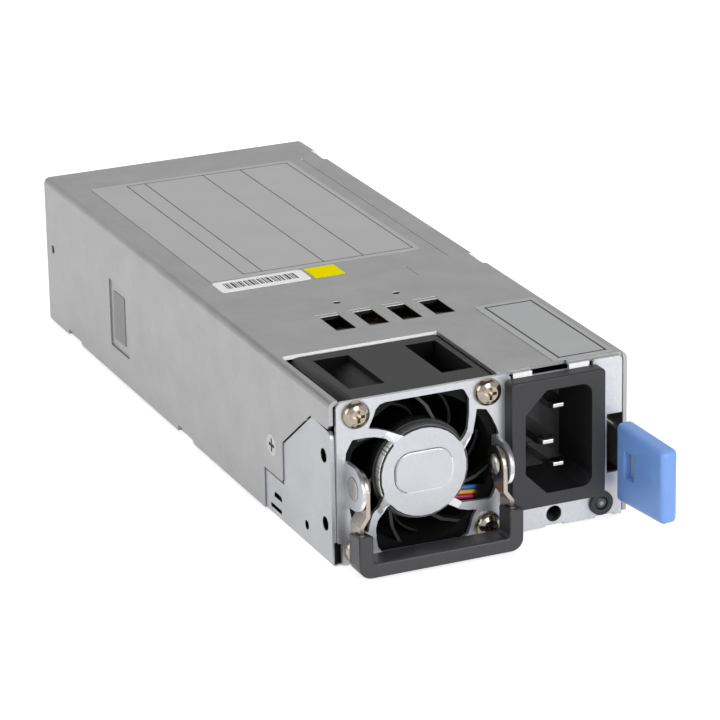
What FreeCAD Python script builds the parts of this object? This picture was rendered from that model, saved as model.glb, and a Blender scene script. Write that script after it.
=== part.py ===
"""Hot-swap server power supply: a sheet-metal box with a fan, a mains inlet, a pull handle
and a side latch at the front, a converter board inside and a card-edge plug at the rear.

Millimetres. The origin is the middle of the underside, +X to the right seen from the front,
the front at -Y and +Z up.
"""
import FreeCAD, Part
import math
import os
import Sketcher
from FreeCAD import Placement, Rotation, Vector

doc = FreeCAD.newDocument("power_supply")
sheet = doc.addObject("Spreadsheet::Sheet", "Sizes")

SIZES = {
    # case
    "case_width": 73.5, "case_depth": 185.0, "case_height": 39.0, "sheet_gauge": 1.0,
    "bend_radius": 1.6, "cover_lift": 0.4, "seam": 0.1, "air_gap": 0.3,
    "stub_depth": 38.0, "stub_recess": 0.3, "stub_top": 31.6, "stub_step_depth": 27.0,
    "stub_step_top": 10.5, "stub_slope_rise": 12.2, "stub_slope_run": 16.6,
    "stub_hole_radius": 1.65, "tooling_hole_radius": 1.1,
    "cutout_depth": 31.4, "cutout_left_rim": 2.15, "cutout_width": 38.75,
    "louvre_width": 4.9, "louvre_length": 10.3, "louvre_pitch": 8.4, "louvre_left": -16.3,
    "louvre_front": -50.8, "louvre_drop": 3.0, "slit_width": 5.9, "slit_gap": 0.55,
    "pip_radius": 0.9, "edge_window_length": 8.2, "edge_window_rear": 74.3, "edge_window_front": -21.9,
    "edge_window_reach": 1.9, "crease_line": 29.5, "crease_width": 0.45, "crease_depth": 0.35,
    "pad_rear": 45.7, "pad_front": 32.7, "pad_low": 8.0, "pad_high": 25.7, "pad_depth": 0.4,
    "pad_rim": 2.3, "foot_notch_length": 9.2, "foot_notch_depth": 1.4, "foot_notch_rear": 68.8,
    "foot_notch_front": -9.0, "cover_screw_y": -59.1, "cover_screw_z": 17.4,
    "right_screw_y": -26.0, "flange_height": 9.0, "ear_height": 22.5,
    "vent_radius": 2.3, "vent_pitch": 5.6, "tongue_side": 5.25, "tongue_reach": 8.6,
    # front panel and the bracket beside it
    "panel_proud": 0.8, "panel_left": 7.75, "panel_right": 35.15, "panel_top": 38.5,
    "panel_hole_x": 17.9, "panel_hole_z": 3.1, "panel_hole_radius": 1.9,
    "window_left": 31.3, "window_low": 10.7, "window_high": 24.8,
    "bracket_left": -35.35, "bracket_right": 7.25, "bracket_low": 0.2, "bracket_high": 38.7,
    "disc_radius": 10.4, "disc_rise": 1.0, "ear_spread": 18.5, "pivot_reach": 3.7,
    "pivot_z": 19.7, "ear_radius": 5.05, "pin_radius": 1.45, "pin_clearance": 0.05,
    # fan
    "fan_x": -14.75, "fan_z": 19.5, "fan_size": 37.2, "fan_length": 30.5, "fan_top": 38.4, "fan_pitch": 32.0,
    "fan_bore": 17.6, "fan_flange": 6.8, "stator_radius": 11.6, "stator_thick": 3.0,
    "hub_radius": 11.0, "blade_tip": 17.3, "blade_thick": 0.9, "blade_count": 7, "shaft_radius": 1.5,
    "bearing_radius": 3.0, "bearing_width": 2.5, "tube_wall": 1.0, "lead_radius": 0.5,
    # handle
    "grip_outer": 20.0, "leg_thick": 3.4, "grip_front": 10.3, "grip_thick": 6.1,
    "grip_low": 0.5, "grip_bar": 3.45, "grip_top": 10.7, "arm_radius": 4.0, "arm_width": 5.2, "joggle": 1.6,
    # mains inlet
    "inlet_left": 5.65, "inlet_right": 29.2, "inlet_low": 6.75, "inlet_high": 37.4,
    "inlet_flange": 3.4, "cavity_left": 9.1, "cavity_right": 25.75, "cavity_low": 10.0,
    "cavity_high": 34.6, "cavity_depth": 16.5, "cavity_corner": 5.3, "inlet_wall": 1.5,
    "pin_wide": 4.0, "pin_thick": 2.0, "line_pin_x": 19.4, "line_pin_low": 14.8,
    "line_pin_high": 28.9, "earth_pin_x": 15.3, "earth_pin_z": 21.9, "pin_setback": 2.8,
    "led_x": 29.7, "led_z": 3.75, "led_radius": 2.9, "led_bore": 1.5,
    # latch
    "leaf_gauge": 0.8, "leaf_low": 11.3, "leaf_high": 20.3, "leaf_foot_x": 33.5,
    "leaf_front_x": 34.4, "leaf_foot_rear": -36.0, "leaf_rivet_y": -41.0, "leaf_step_y": -52.0,
    "tab_x": 32.4, "tab_rear": -96.9, "tab_length": 18.9, "tab_thick": 3.4, "tab_low": 5.8,
    "tab_high": 24.1, "tab_drop": 1.4, "tab_lean": 0.115, "tooth_front": -87.0, "tooth_rear": -79.5,
    "tooth_proud": 1.35, "latch_rivet_radius": 1.2,
    # board and the parts on it
    "board_low": 4.0, "board_thick": 1.6, "board_side_gap": 3.15,
    "board_front": -61.0, "board_rear_gap": 6.5, "liner_gauge": 0.4, "standoff_radius": 2.6,
    "contact_pitch": 2.54, "contact_width": 1.7, "contact_thick": 0.1,
    "bulk_radius": 14.5, "bulk_length": 46.0, "bulk_side": 16.6, "bulk_front": -14.0,
    "choke_radius": 14.0, "choke_hole": 7.0, "choke_width": 11.0, "choke_side": 16.6, "choke_y": -36.0,
    "wire_thick": 1.3, "emi_radius": 10.5, "emi_hole": 5.5, "emi_width": 9.0, "emi_side": 14.0,
    "emi_y": -38.0, "core_width": 30.0, "core_depth": 24.0, "core_height": 26.0, "core_side": 15.5,
    "core_y": -2.0, "sink_thick": 2.0, "output_can_radius": 4.0, "output_can_height": 16.0,
    "label_thick": 0.12,
}


class Size:
    """A length that carries its number and the spreadsheet expression that gives it."""

    def __init__(self, value, text):
        self.value = value
        self.text = text

    def __add__(self, other):
        other = size_of(other)
        return Size(self.value + other.value, f"({self.text} + {other.text})")

    def __sub__(self, other):
        other = size_of(other)
        return Size(self.value - other.value, f"({self.text} - {other.text})")

    def __mul__(self, other):
        other = size_of(other)
        return Size(self.value * other.value, f"({self.text} * {other.text})")

    def __truediv__(self, other):
        other = size_of(other)
        return Size(self.value / other.value, f"({self.text} / {other.text})")

    def __neg__(self):
        return Size(-self.value, f"(0 - {self.text})")

    def __radd__(self, other):
        return size_of(other) + self

    def __rsub__(self, other):
        return size_of(other) - self

    def __rmul__(self, other):
        return size_of(other) * self


def size_of(thing):
    """Return a Size for a Size or a plain number."""
    if isinstance(thing, Size):
        return thing
    return Size(float(thing), f"({float(thing):.6f})")


for row, (alias, number) in enumerate(SIZES.items(), start=1):
    sheet.set(f"A{row}", alias)
    sheet.set(f"B{row}", str(number))
    sheet.setAlias(f"B{row}", alias)
doc.recompute()
S = {alias: Size(float(number), f"Sizes.{alias}") for alias, number in SIZES.items()}

# Each plane's role, and +1 where its normal points along the positive world axis.
PLANES = {"XY": ("XY_Plane", 1), "XZ": ("XZ_Plane", -1), "YZ": ("YZ_Plane", 1)}
pieces = []


def bind(thing, name, size):
    """Tie one property of an object to its expression."""
    thing.setExpression(name, size_of(size).text)


def ring(across, up, radius):
    """A circular outline."""
    return ("ring", size_of(across), size_of(up), size_of(radius))


def block(x_low, y_low, x_high, y_high, radius=None):
    """A rectangular outline, with rounded corners where a radius is given."""
    spots = [(x_low, y_low), (x_high, y_low), (x_high, y_high), (x_low, y_high)]
    return spots if radius is None else [(x, y, radius) for x, y in spots]


def around(outline, centre_x, centre_y, angle=0.0):
    """Turn an outline given about a centre by an angle in degrees and move it to that centre."""
    cosine = math.cos(math.radians(angle))
    sine = math.sin(math.radians(angle))
    moved = []
    for spot in outline:
        x = centre_x + spot[0] * cosine - spot[1] * sine
        y = centre_y + spot[0] * sine + spot[1] * cosine
        moved.append((x, y) + tuple(spot[2:]))
    return moved


def polar(radius, angle, centre=(0, 0)):
    """A spot at a radius and an angle in degrees about a centre."""
    return (centre[0] + radius * math.cos(math.radians(angle)), centre[1] + radius * math.sin(math.radians(angle)))


def bow(radius, first, last, steps):
    """Evenly spaced spots along an arc about the origin."""
    return [polar(radius, first + (last - first) * i / steps) for i in range(steps + 1)]


def rounded(before, here, after, radius):
    """Return the two tangent points, the arc and whether it starts at the first point."""
    back = (before - here).normalize()
    ahead = (after - here).normalize()
    half = back.getAngle(ahead) / 2
    first = here + back * (radius / math.tan(half))
    second = here + ahead * (radius / math.tan(half))
    centre = here + (back + ahead).normalize() * (radius / math.sin(half))
    starts = (first - centre).cross(second - centre).z > 0
    low, high = (first, second) if starts else (second, first)
    angle_low = math.atan2(low.y - centre.y, low.x - centre.x)
    angle_high = math.atan2(high.y - centre.y, high.x - centre.x)
    arc = Part.ArcOfCircle(Part.Circle(centre, Vector(0, 0, 1), radius), angle_low, angle_high)
    return first, second, arc, starts


def trace(flat, outline):
    """Draw one closed outline in a sketch and tie each of its corners to its expressions."""
    rule = Sketcher.Constraint
    rules = []
    ties = []
    if outline[0] == "ring":
        _, x, y, radius = outline
        where = Vector(x.value, y.value, 0)
        curve = flat.addGeometry(Part.Circle(where, Vector(0, 0, 1), radius.value), False)
        rules = [rule("DistanceX", -1, 1, curve, 3, x.value), rule("DistanceY", -1, 1, curve, 3, y.value),
                 rule("Radius", curve, radius.value)]
        ties = [(0, x), (1, y), (2, radius)]
    else:
        spots = [[size_of(value) for value in spot] for spot in outline]
        places = [Vector(spot[0].value, spot[1].value, 0) for spot in spots]
        count = len(spots)
        ends = []
        for i, spot in enumerate(spots):
            if len(spot) == 2:
                ends.append((places[i], places[i], None, True))
            else:
                ends.append(rounded(places[i - 1], places[i], places[(i + 1) % count], spot[2].value))
        lines = [Part.LineSegment(ends[i][1], ends[(i + 1) % count][0]) for i in range(count)]
        base = flat.GeometryCount
        flat.addGeometry(lines, False)
        for i, spot in enumerate(spots):
            line_in = base + (i - 1) % count
            line_out = base + i
            if len(spot) == 2:
                rules.append(rule("Coincident", line_in, 2, line_out, 1))
                corner = line_out
            else:
                arc = flat.addGeometry(ends[i][2], False)
                corner = flat.addGeometry(Part.Point(places[i]), True)
                begin, finish = (1, 2) if ends[i][3] else (2, 1)
                rules.append(rule("Tangent", line_in, 2, arc, begin))
                rules.append(rule("Tangent", arc, finish, line_out, 1))
                rules.append(rule("PointOnObject", corner, 1, line_in))
                rules.append(rule("PointOnObject", corner, 1, line_out))
                ties.append((len(rules), spot[2]))
                rules.append(rule("Radius", arc, spot[2].value))
            for way, size in zip(("DistanceX", "DistanceY"), spot):
                ties.append((len(rules), size))
                rules.append(rule(way, -1, 1, corner, 1, size.value))
    start = flat.ConstraintCount
    flat.addConstraint(rules)
    for index, size in ties:
        bind(flat, f"Constraints[{start + index}]", size)


def draw(host, plane, level, outlines, origin=(0, 0)):
    """Add a sketch on the host's own origin plane, at a level along the world axis it faces."""
    role, sign = PLANES[plane]
    flat = host.newObject("Sketcher::SketchObject", "outline")
    support = next(entry for entry in host.Origin.OriginFeatures if entry.Role == role)
    flat.AttachmentSupport = [(support, "")]
    flat.MapMode = "FlatFace"
    bind(flat, "AttachmentOffset.Base.x", origin[0])
    bind(flat, "AttachmentOffset.Base.y", origin[1])
    bind(flat, "AttachmentOffset.Base.z", size_of(level) * sign)
    for outline in outlines:
        trace(flat, outline)
    return flat


def settle(host, feature, must_shrink=False):
    """Recompute a new feature and stop if it failed, or if a cut took nothing away."""
    before = host.Shape.Volume if not host.Shape.isNull() else 0.0
    doc.recompute()
    if feature.Shape.isNull() or {"Invalid", "Error"} & set(feature.State):
        raise RuntimeError(f"{host.Label}: {feature.Label} failed")
    if must_shrink and feature.Shape.Volume > before - 1e-4:
        raise RuntimeError(f"{host.Label}: {feature.Label} cuts nothing")
    return feature


def body(label):
    """Start a PartDesign body."""
    host = doc.addObject("PartDesign::Body", label)
    host.Label = label
    return host


def pad(host, plane, level, outlines, length):
    """Extrude outlines from a level towards the positive world axis."""
    feature = host.newObject("PartDesign::Pad", "pad")
    feature.Profile = draw(host, plane, level, outlines)
    feature.Reversed = PLANES[plane][1] < 0
    bind(feature, "Length", length)
    return settle(host, feature)


def cut(host, plane, level, outlines, length):
    """Cut outlines from a level towards the positive world axis."""
    feature = host.newObject("PartDesign::Pocket", "cut")
    feature.Profile = draw(host, plane, level, outlines)
    feature.Reversed = PLANES[plane][1] > 0
    bind(feature, "Length", length)
    return settle(host, feature, must_shrink=True)


def spin(host, plane, level, outlines, axis, origin, remove=False):
    """Revolve outlines about the sketch's H_Axis or V_Axis, adding or removing material."""
    feature = host.newObject("PartDesign::Groove" if remove else "PartDesign::Revolution", "turned")
    feature.Profile = draw(host, plane, level, outlines, origin)
    feature.ReferenceAxis = (feature.Profile[0], [axis])
    feature.Angle = 360
    return settle(host, feature, must_shrink=remove)


def soften(host, radius, wanted, kind="Fillet"):
    """Round or chamfer the edges of the body so far for which wanted(edge) is true."""
    tip = host.Tip
    names = [f"Edge{i}" for i, edge in enumerate(tip.Shape.Edges, start=1) if wanted(edge)]
    if not names:
        raise RuntimeError(f"{host.Label}: no edge to soften")
    feature = host.newObject(f"PartDesign::{kind}", "softened")
    feature.Base = (tip, names)
    bind(feature, "Radius" if kind == "Fillet" else "Size", radius)
    return settle(host, feature)


def repeat(host, features, axis_sketch, count):
    """Repeat features evenly about a sketch's vertical axis."""
    pattern = host.newObject("PartDesign::PolarPattern", "pattern")
    pattern.Originals = features
    pattern.Axis = (axis_sketch, ["V_Axis"])
    pattern.Angle = 360
    pattern.Occurrences = count
    host.Tip = pattern
    return settle(host, pattern)


def copy(source, x, y, z, turn=0.0, axis=(0, 0, 1)):
    """Link a copy of a body, moved and turned about an axis."""
    link = doc.addObject("App::Link", f"{source.Name}_copy")
    link.LinkedObject = source
    link.Placement = Placement(Vector(), Rotation(Vector(*axis), turn))
    for way, amount in zip("xyz", (x, y, z)):
        bind(link, f"Placement.Base.{way}", amount)
    return link


def piece(label, *solids):
    """Register one named sub-part, grouping several solids where it has them."""
    if len(solids) == 1:
        thing = solids[0]
    else:
        thing = doc.addObject("Part::Compound", label)
        thing.Links = list(solids)
    thing.Label = label
    pieces.append(thing)
    return thing


def straight(edge, way, tolerance=1e-4):
    """True for a straight edge that runs along the given world direction."""
    if edge.Curve.TypeId != "Part::GeomLine":
        return False
    return abs(abs(edge.Curve.Direction.dot(way)) - 1) < tolerance


# ---------------------------------------------------------------------------------------------
# Case planes
# ---------------------------------------------------------------------------------------------
s = type("Named", (), S)
half_width = s.case_width / 2
half_depth = s.case_depth / 2
left_face = -half_width
right_face = half_width
front_face = -half_depth
rear_face = half_depth
gauge = s.sheet_gauge
under_top = s.case_height - gauge
base_left = -(half_width - gauge - s.seam)
base_right = half_width - gauge - s.seam
panel_front = front_face - s.panel_proud
board_left = left_face + s.board_side_gap
board_right = right_face - s.board_side_gap - 0.6
board_rear = rear_face - s.board_rear_gap
bulk_x = board_left + s.bulk_side
choke_x = board_left + s.choke_side
emi_x = board_right - s.emi_side
core_x = board_right - s.core_side
panel_back = panel_front + gauge
base_front = panel_back + s.seam
base_rear = rear_face - s.seam
stub_face = left_face + s.stub_recess
beyond = Size(3.0, "3")
along_x = Vector(1, 0, 0)
along_y = Vector(0, 1, 0)
along_z = Vector(0, 0, 1)

# ---------------------------------------------------------------------------------------------
# Top cover: a sheet folded over the top and down both sides
# ---------------------------------------------------------------------------------------------
cover = body("top_cover")
pad(cover, "XZ", front_face, [[
    (left_face, s.cover_lift), (left_face + gauge, s.cover_lift),
    (left_face + gauge, under_top, s.bend_radius - gauge),
    (right_face - gauge, under_top, s.bend_radius - gauge),
    (right_face - gauge, s.cover_lift), (right_face, s.cover_lift),
    (right_face, s.case_height, s.bend_radius), (left_face, s.case_height, s.bend_radius),
]], s.case_depth)

# The left wall gives way to the chassis's own front cheek along a stepped, sloping line.
step_y = front_face + s.stub_depth
tab_y = front_face + s.stub_step_depth
slope_y = tab_y - s.stub_slope_run
slope_low = s.stub_top - s.stub_slope_rise + s.panel_proud
slope_high = s.stub_top + s.panel_proud
cut(cover, "YZ", left_face - 1, [[
    (front_face - 2, -1), (step_y, -1), (step_y, s.stub_step_top), (tab_y, s.stub_step_top, gauge),
    (tab_y, slope_low, gauge), (slope_y, slope_high), (front_face + 1, slope_high), (front_face - 1, slope_high + 2),
]], beyond)
fan_left = left_face + s.cutout_left_rim
fan_right = fan_left + s.cutout_width
cut(cover, "XY", under_top - 1, [
    [(fan_left, front_face - 2), (fan_right, front_face - 2), (fan_right, front_face + s.cutout_depth),
     (fan_left, front_face + s.cutout_depth, gauge)],
], beyond)
# Room for the front panel under the top's front edge, deeper between the panel's two lips.
cut(cover, "XY", under_top - 0.1, [
    [(fan_right - 0.5, front_face - 2), (s.panel_right + 0.4, front_face - 2), (s.panel_right + 0.4, base_front),
     (s.panel_left + 13.9, base_front), (s.panel_left + 13.9, front_face + 1.3),
     (s.panel_left + 4.75, front_face + 1.3), (s.panel_left + 4.75, base_front), (fan_right - 0.5, base_front)],
], beyond)
# Each louvre is a slot with a tongue that falls away from its front end.
louvre_rear = s.louvre_front + s.louvre_length
slots = []
for i in range(4):
    left = s.louvre_left + s.louvre_pitch * i
    slots.append(block(left, s.louvre_front, left + s.louvre_width, louvre_rear))
    middle = left + s.louvre_width / 2
    slit_y = louvre_rear + 1.0
    slots.append(block(middle - s.slit_width / 2, slit_y, middle + s.slit_width / 2, slit_y + s.slit_gap))
cut(cover, "XY", under_top - 1, slots, beyond)
for i in range(4):
    left = s.louvre_left + s.louvre_pitch * i + 0.3
    pad(cover, "YZ", left, [[
        (s.louvre_front - 0.8, under_top + 0.1), (s.louvre_front, s.case_height - 0.05),
        (louvre_rear - 0.8, s.case_height - s.louvre_drop), (louvre_rear - 1.1, under_top - s.louvre_drop),
    ]], s.louvre_width - 0.6)
cut(cover, "XY", under_top - 1, [ring(-8.4, -32.5, s.pip_radius), ring(6.9, -32.5, s.pip_radius)], beyond)
edge_x = right_face - s.edge_window_reach
cut(cover, "XY", under_top - 1.4, [
    block(edge_x, s.edge_window_rear, right_face + 1, s.edge_window_rear + s.edge_window_length),
    block(edge_x, s.edge_window_front, right_face + 1, s.edge_window_front + s.edge_window_length),
], beyond)
# A crease beside the label and a short struck line in front of it.
cut(cover, "XY", s.case_height - s.crease_depth, [
    block(s.crease_line - s.crease_width / 2, -13.6, s.crease_line + s.crease_width / 2, 76.5),
    block(16.8, -23.3, 16.8 + s.crease_width, -15.5),
], beyond)
# The foot notches along both lower edges.
notches = []
for front in (s.foot_notch_rear, s.foot_notch_front):
    high = s.cover_lift + s.foot_notch_depth
    notches.append([(front - 1.5, s.cover_lift - 1), (front + s.foot_notch_length, s.cover_lift - 1),
                    (front + s.foot_notch_length, high), (front + 0.8, high), (front - 1, s.cover_lift)])
cut(cover, "YZ", left_face - 1, notches, s.case_width + 2)
# A pressed frame, the tooling hole and the latch tooth's slot.
cut(cover, "YZ", left_face - 1, [block(s.pad_front, s.pad_low, s.pad_rear, s.pad_high, 0.6)], s.pad_depth + 1)
cut(cover, "YZ", left_face - 1, [ring(half_depth - 4.75, 20.7, s.tooling_hole_radius)], beyond)
tooth_low = s.window_low + 1.2
tooth_high = s.leaf_high - 0.8
cut(cover, "YZ", right_face - 2, [
    block(s.tooth_front - 1, tooth_low - 0.6, s.tooth_rear + 1, tooth_high + 0.6, 0.6),
], beyond)
# Countersunk screw seats, one in each wall: the profile turns about the screw's own line.
screw_shank = Size(1.3, "1.3")
screw_head = Size(2.65, "2.65")
sink_depth = Size(0.95, "0.95")
right_screw_z = s.flange_height - 3.6


def screw_seat(host, face, sign, y, z):
    """Sink a conical seat with its clearance hole into a wall."""
    outer = face + 0.5 * sign
    spin(host, "XZ", y, [[
        (outer, 0), (outer, screw_head + 0.1), (face, screw_head + 0.1),
        (face - sink_depth * sign, screw_shank + 0.15), (face - 1.6 * sign, screw_shank + 0.15),
        (face - 1.6 * sign, 0),
    ]], "H_Axis", (0, z), remove=True)


screw_seat(cover, left_face, -1, s.cover_screw_y, s.cover_screw_z)
screw_seat(cover, right_face, 1, s.right_screw_y, right_screw_z)
piece("top_cover", cover)

# ---------------------------------------------------------------------------------------------
# Lower chassis: floor, low side flanges, front-left cheek, front panel and vented rear panel
# ---------------------------------------------------------------------------------------------
base = body("lower_chassis")
pad(base, "XY", 0, [block(base_left, base_front, base_right, base_rear)], gauge)
cheek_front = front_face + s.seam
pad(base, "YZ", stub_face, [[
    (cheek_front, 0), (step_y - 0.15, 0), (step_y - 0.15, s.stub_step_top - 0.15),
    (tab_y - 0.15, s.stub_step_top - 0.15, gauge), (tab_y - 0.15, slope_low - 0.25, gauge),
    (slope_y - 0.1, slope_high - 0.3), (slope_y - 2.5, slope_high - 0.3),
    (cheek_front, s.stub_top, s.bend_radius),
]], gauge)
soften(base, gauge * 0.8, lambda e: straight(e, along_y) and abs(e.CenterOfMass.z) < 1e-4
       and abs(e.CenterOfMass.x - stub_face.value) < 1e-4)
pad(base, "YZ", base_left, [
    [(tab_y - 2, gauge / 2), (base_rear, gauge / 2), (base_rear, s.flange_height),
     (step_y + 1, s.flange_height), (step_y + 1, s.ear_height, gauge), (tab_y - 2, s.ear_height, gauge)],
], gauge)
pad(base, "YZ", base_right - gauge, [
    [(-50, gauge / 2), (base_rear, gauge / 2), (base_rear, s.flange_height), (s.leaf_foot_rear + 1.5, s.flange_height),
     (s.leaf_foot_rear + 1.5, s.leaf_high, gauge), (-47, s.leaf_high, gauge), (-47, s.flange_height),
     (-50, s.flange_height)],
], gauge)
# The fan fills the case's height, so the floor is open beneath it as the top is above it.
fan_half = s.fan_size / 2
cut(base, "XY", -1, [
    block(s.fan_x - fan_half - 0.3, base_front - 1, s.fan_x + fan_half + 0.3, front_face + s.cutout_depth, None),
], beyond)
# Cheek holes and the two lanced half-round slots beside the lower edge.
slot_y = tab_y + 1.6
cut(base, "YZ", left_face - 1, [
    ring(front_face + 4, 25.2, s.stub_hole_radius), ring(front_face + 3.7, 9.1, s.stub_hole_radius),
    ring(front_face + 14.3, 4.8, s.tooling_hole_radius),
    [(slot_y, 4.9), (slot_y + 4.5, 4.9), (slot_y + 4.5, 5.6, 0.5), (slot_y + 3.9, 6.2), (slot_y + 0.6, 6.2),
     (slot_y, 5.6, 0.2)],
    block(slot_y + 0.2, 1.8, slot_y + 6.7, 2.8, 0.45),
], beyond)
cut(base, "YZ", left_face - 1, [ring(s.cover_screw_y, s.cover_screw_z, screw_shank + 0.1)], beyond + 1)
latch_rivet_z = [s.leaf_low + 2, s.leaf_high - 2]
cut(base, "YZ", base_right - gauge - 1, [
    ring(s.right_screw_y, right_screw_z, screw_shank + 0.1),
    ring(s.leaf_rivet_y, latch_rivet_z[0], s.latch_rivet_radius + 0.05),
    ring(s.leaf_rivet_y, latch_rivet_z[1], s.latch_rivet_radius + 0.05),
], beyond)
piece("lower_chassis", base)


# ---------------------------------------------------------------------------------------------
# Front panel, fixed to the floor behind its lower edge, and the vented rear panel
# ---------------------------------------------------------------------------------------------
front_panel = body("front_panel")
# It stands clear of the case's front edges; its top has two lips and a wider plate.
pad(front_panel, "XZ", panel_front, [[
    (s.panel_left, 0.1), (s.panel_right, 0.1), (s.panel_right, s.panel_top, gauge),
    (s.panel_left + 19.95, s.panel_top, gauge), (s.panel_left + 19.95, s.panel_top - 1.4),
    (s.panel_left + 19.05, s.panel_top - 1.4), (s.panel_left + 19.05, s.panel_top),
    (s.panel_left + 13.9, s.panel_top), (s.panel_left + 13.9, s.panel_top - 1.2),
    (s.panel_left + 4.75, s.panel_top - 1.2), (s.panel_left + 4.75, s.panel_top), (s.panel_left, s.panel_top),
]], gauge)
# Two short feet run back over the floor.
pad(front_panel, "XY", gauge, [
    block(s.panel_left, panel_front + 0.2, s.panel_left + 7, base_front + 4),
    block(s.panel_left + 13, panel_front + 0.2, s.panel_left + 17.5, base_front + 4),
], gauge * 0.8)
cut(front_panel, "XZ", panel_front - 1, [
    block(s.panel_hole_x - 2.2, -0.5, s.panel_hole_x + 2.3, 0.55), block(s.led_x - 1.2, -0.5, s.led_x + 3.3, 0.5),
], gauge + 1)
body_gap = s.air_gap
inlet_body_left = s.cavity_left - s.inlet_wall
inlet_body_right = s.cavity_right + s.inlet_wall
inlet_body_low = s.cavity_low - s.inlet_wall
inlet_body_high = s.cavity_high + s.inlet_wall
cut(front_panel, "XZ", panel_front - 1, [
    block(inlet_body_left - body_gap, inlet_body_low - body_gap, inlet_body_right + body_gap,
          inlet_body_high + body_gap),
    block(s.window_left, s.window_low, s.panel_right + 1, s.window_high),
    ring(s.panel_hole_x, s.panel_hole_z, s.panel_hole_radius),
    ring(s.led_x, s.led_z, s.led_bore + 0.5),
], beyond)
piece("front_panel", front_panel)

# The rear panel: hexagonal vents in staggered rows above the slot for the card-edge plug.
rear_inner = base_rear - gauge
shoulder = s.flange_height + s.seam
panel_low = [(base_left + gauge, gauge), (base_right - gauge, gauge), (base_right - gauge, shoulder)]
panel_high = [(base_right, shoulder), (base_right, under_top - s.seam), (base_left, under_top - s.seam)]
rear_panel = body("rear_panel")
pad(rear_panel, "XZ", rear_inner, [
    panel_low + panel_high + [(base_left, shoulder), (base_left + gauge, shoulder)],
], gauge)
half_tongue = half_width - s.tongue_side
half_slot = half_tongue + 0.6
cut(rear_panel, "XZ", rear_inner - 1, [
    block(-half_slot, s.board_low - 0.8, half_slot, s.board_low + s.board_thick + 0.8),
], beyond)


def hexagon(x, y, radius):
    """A hexagon standing on a point."""
    side = radius * 0.8660254
    return [(x, y - radius), (x + side, y - radius / 2), (x + side, y + radius / 2), (x, y + radius),
            (x - side, y + radius / 2), (x - side, y - radius / 2)]


for first_row, count, rows in ((0, 12, 3), (1, 11, 2)):
    row_y = s.board_low + 9 + s.vent_pitch * 0.866 * first_row
    row_x = [s.vent_pitch * (i - (count - 1) / 2) for i in range(count)]
    opened = cut(rear_panel, "XZ", rear_inner - 1, [hexagon(x, row_y, s.vent_radius) for x in row_x], beyond)
    stack = rear_panel.newObject("PartDesign::LinearPattern", "rows")
    stack.Originals = [opened]
    stack.Direction = (opened.Profile[0], ["V_Axis"])
    bind(stack, "Length", s.vent_pitch * 1.732 * (rows - 1))
    stack.Occurrences = rows
    rear_panel.Tip = stack
    settle(rear_panel, stack, must_shrink=True)
piece("rear_panel", rear_panel)

# ---------------------------------------------------------------------------------------------
# Fan bracket: the pierced front plate with its raised disc and the two handle ears
# ---------------------------------------------------------------------------------------------
bracket = body("fan_bracket")
ear_outer = s.ear_spread
ear_inner = s.ear_spread - gauge
pivot_y = panel_front - s.pivot_reach
plate_left = s.bracket_left
plate_right = s.bracket_right
pad(bracket, "XZ", panel_front, [block(plate_left, s.bracket_low, plate_right, s.bracket_high, s.bend_radius)], gauge)
dish_outer = s.disc_radius + 3.2
cut(bracket, "XZ", panel_front - 1, [ring(s.fan_x, s.fan_z, dish_outer - 0.6)], beyond)
disc_front = panel_front - s.disc_rise
spin(bracket, "XY", s.fan_z, [[
    (0, disc_front), (s.disc_radius + 0.2, disc_front), (dish_outer, panel_front), (dish_outer, panel_back),
    (dish_outer - 0.9, panel_back), (s.disc_radius - 0.1, disc_front + gauge), (0, disc_front + gauge),
]], "V_Axis", (s.fan_x, 0))
# Four openings leave a spoke running in from each corner of the fan to the disc.
edge_of_disc = s.disc_radius
top_opening = [
    (-12.9, 12.1, 0.3), (-11.7, 14.7), (-11.1, 16.3), (-10.1, 17.3), (-8.7, 17.65), (10.3, 17.65, 1.4), (11.6, 15.0, 0.8),
    (11.6, 11.6), (11.2, 7.9), (10.6, 6.9), (9.5, 6.0), *bow(edge_of_disc, 33, 117, 7), (-6.2, 9.85), (-8.8, 10.95),
    (-10.8, 11.65),
]
left_opening = [
    (-16.8, 10.1, 0.6), (-13.7, 10.1), (-11.5, 9.9), (-8.8, 9.1), *bow(edge_of_disc, 134, 201, 5), (-10.3, -5.3),
    (-10.8, -6.9), (-12.2, -8.3), (-13.0, -10.7), (-13.3, -12.4), (-15.6, -11.7), (-17.3, -8.9), (-17.9, -5.3),
    (-17.9, 5.1), (-18.6, 5.3), (-18.4, 7.2), (-17.7, 8.6),
]
right_opening = [
    (13.4, 12.3, 0.4), (15.8, 11.8, 0.5), (17.2, 9.6), (18.4, 7.0), (18.8, 5.8), (18.8, 5.3), (18.0, 5.1), (18.0, -7.5),
    (16.9, -9.8, 0.6), (13.6, -9.7), (9.8, -9.4), *bow(edge_of_disc, -46, 20, 5), (10.8, 4.6), (11.6, 5.4), (12.5, 6.8),
    (12.8, 8.6), (13.2, 10.6),
]
bottom_opening = [
    (-9.0, -6.9), (-9.8, -8.5), (-11.0, -10.1), (-11.5, -11.9), (-11.4, -14.2), (-11.1, -16.3), (-10.1, -17.8, 0.8),
    (9.5, -18.1), (11.1, -17.3), (11.8, -15.4), (12.3, -13.6), (13.3, -11.8), (11.0, -11.5), (9.0, -10.9),
    *reversed(bow(edge_of_disc, -143, -57, 7)),
]
openings = [top_opening, left_opening, right_opening, bottom_opening]
cut(bracket, "XZ", disc_front - 1, [around(outline, s.fan_x, s.fan_z) for outline in openings], beyond)
half_pitch = s.fan_pitch / 2
corners = [(s.fan_x + half_pitch * i, s.fan_z + half_pitch * j) for i in (-1, 1) for j in (-1, 1)]
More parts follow.
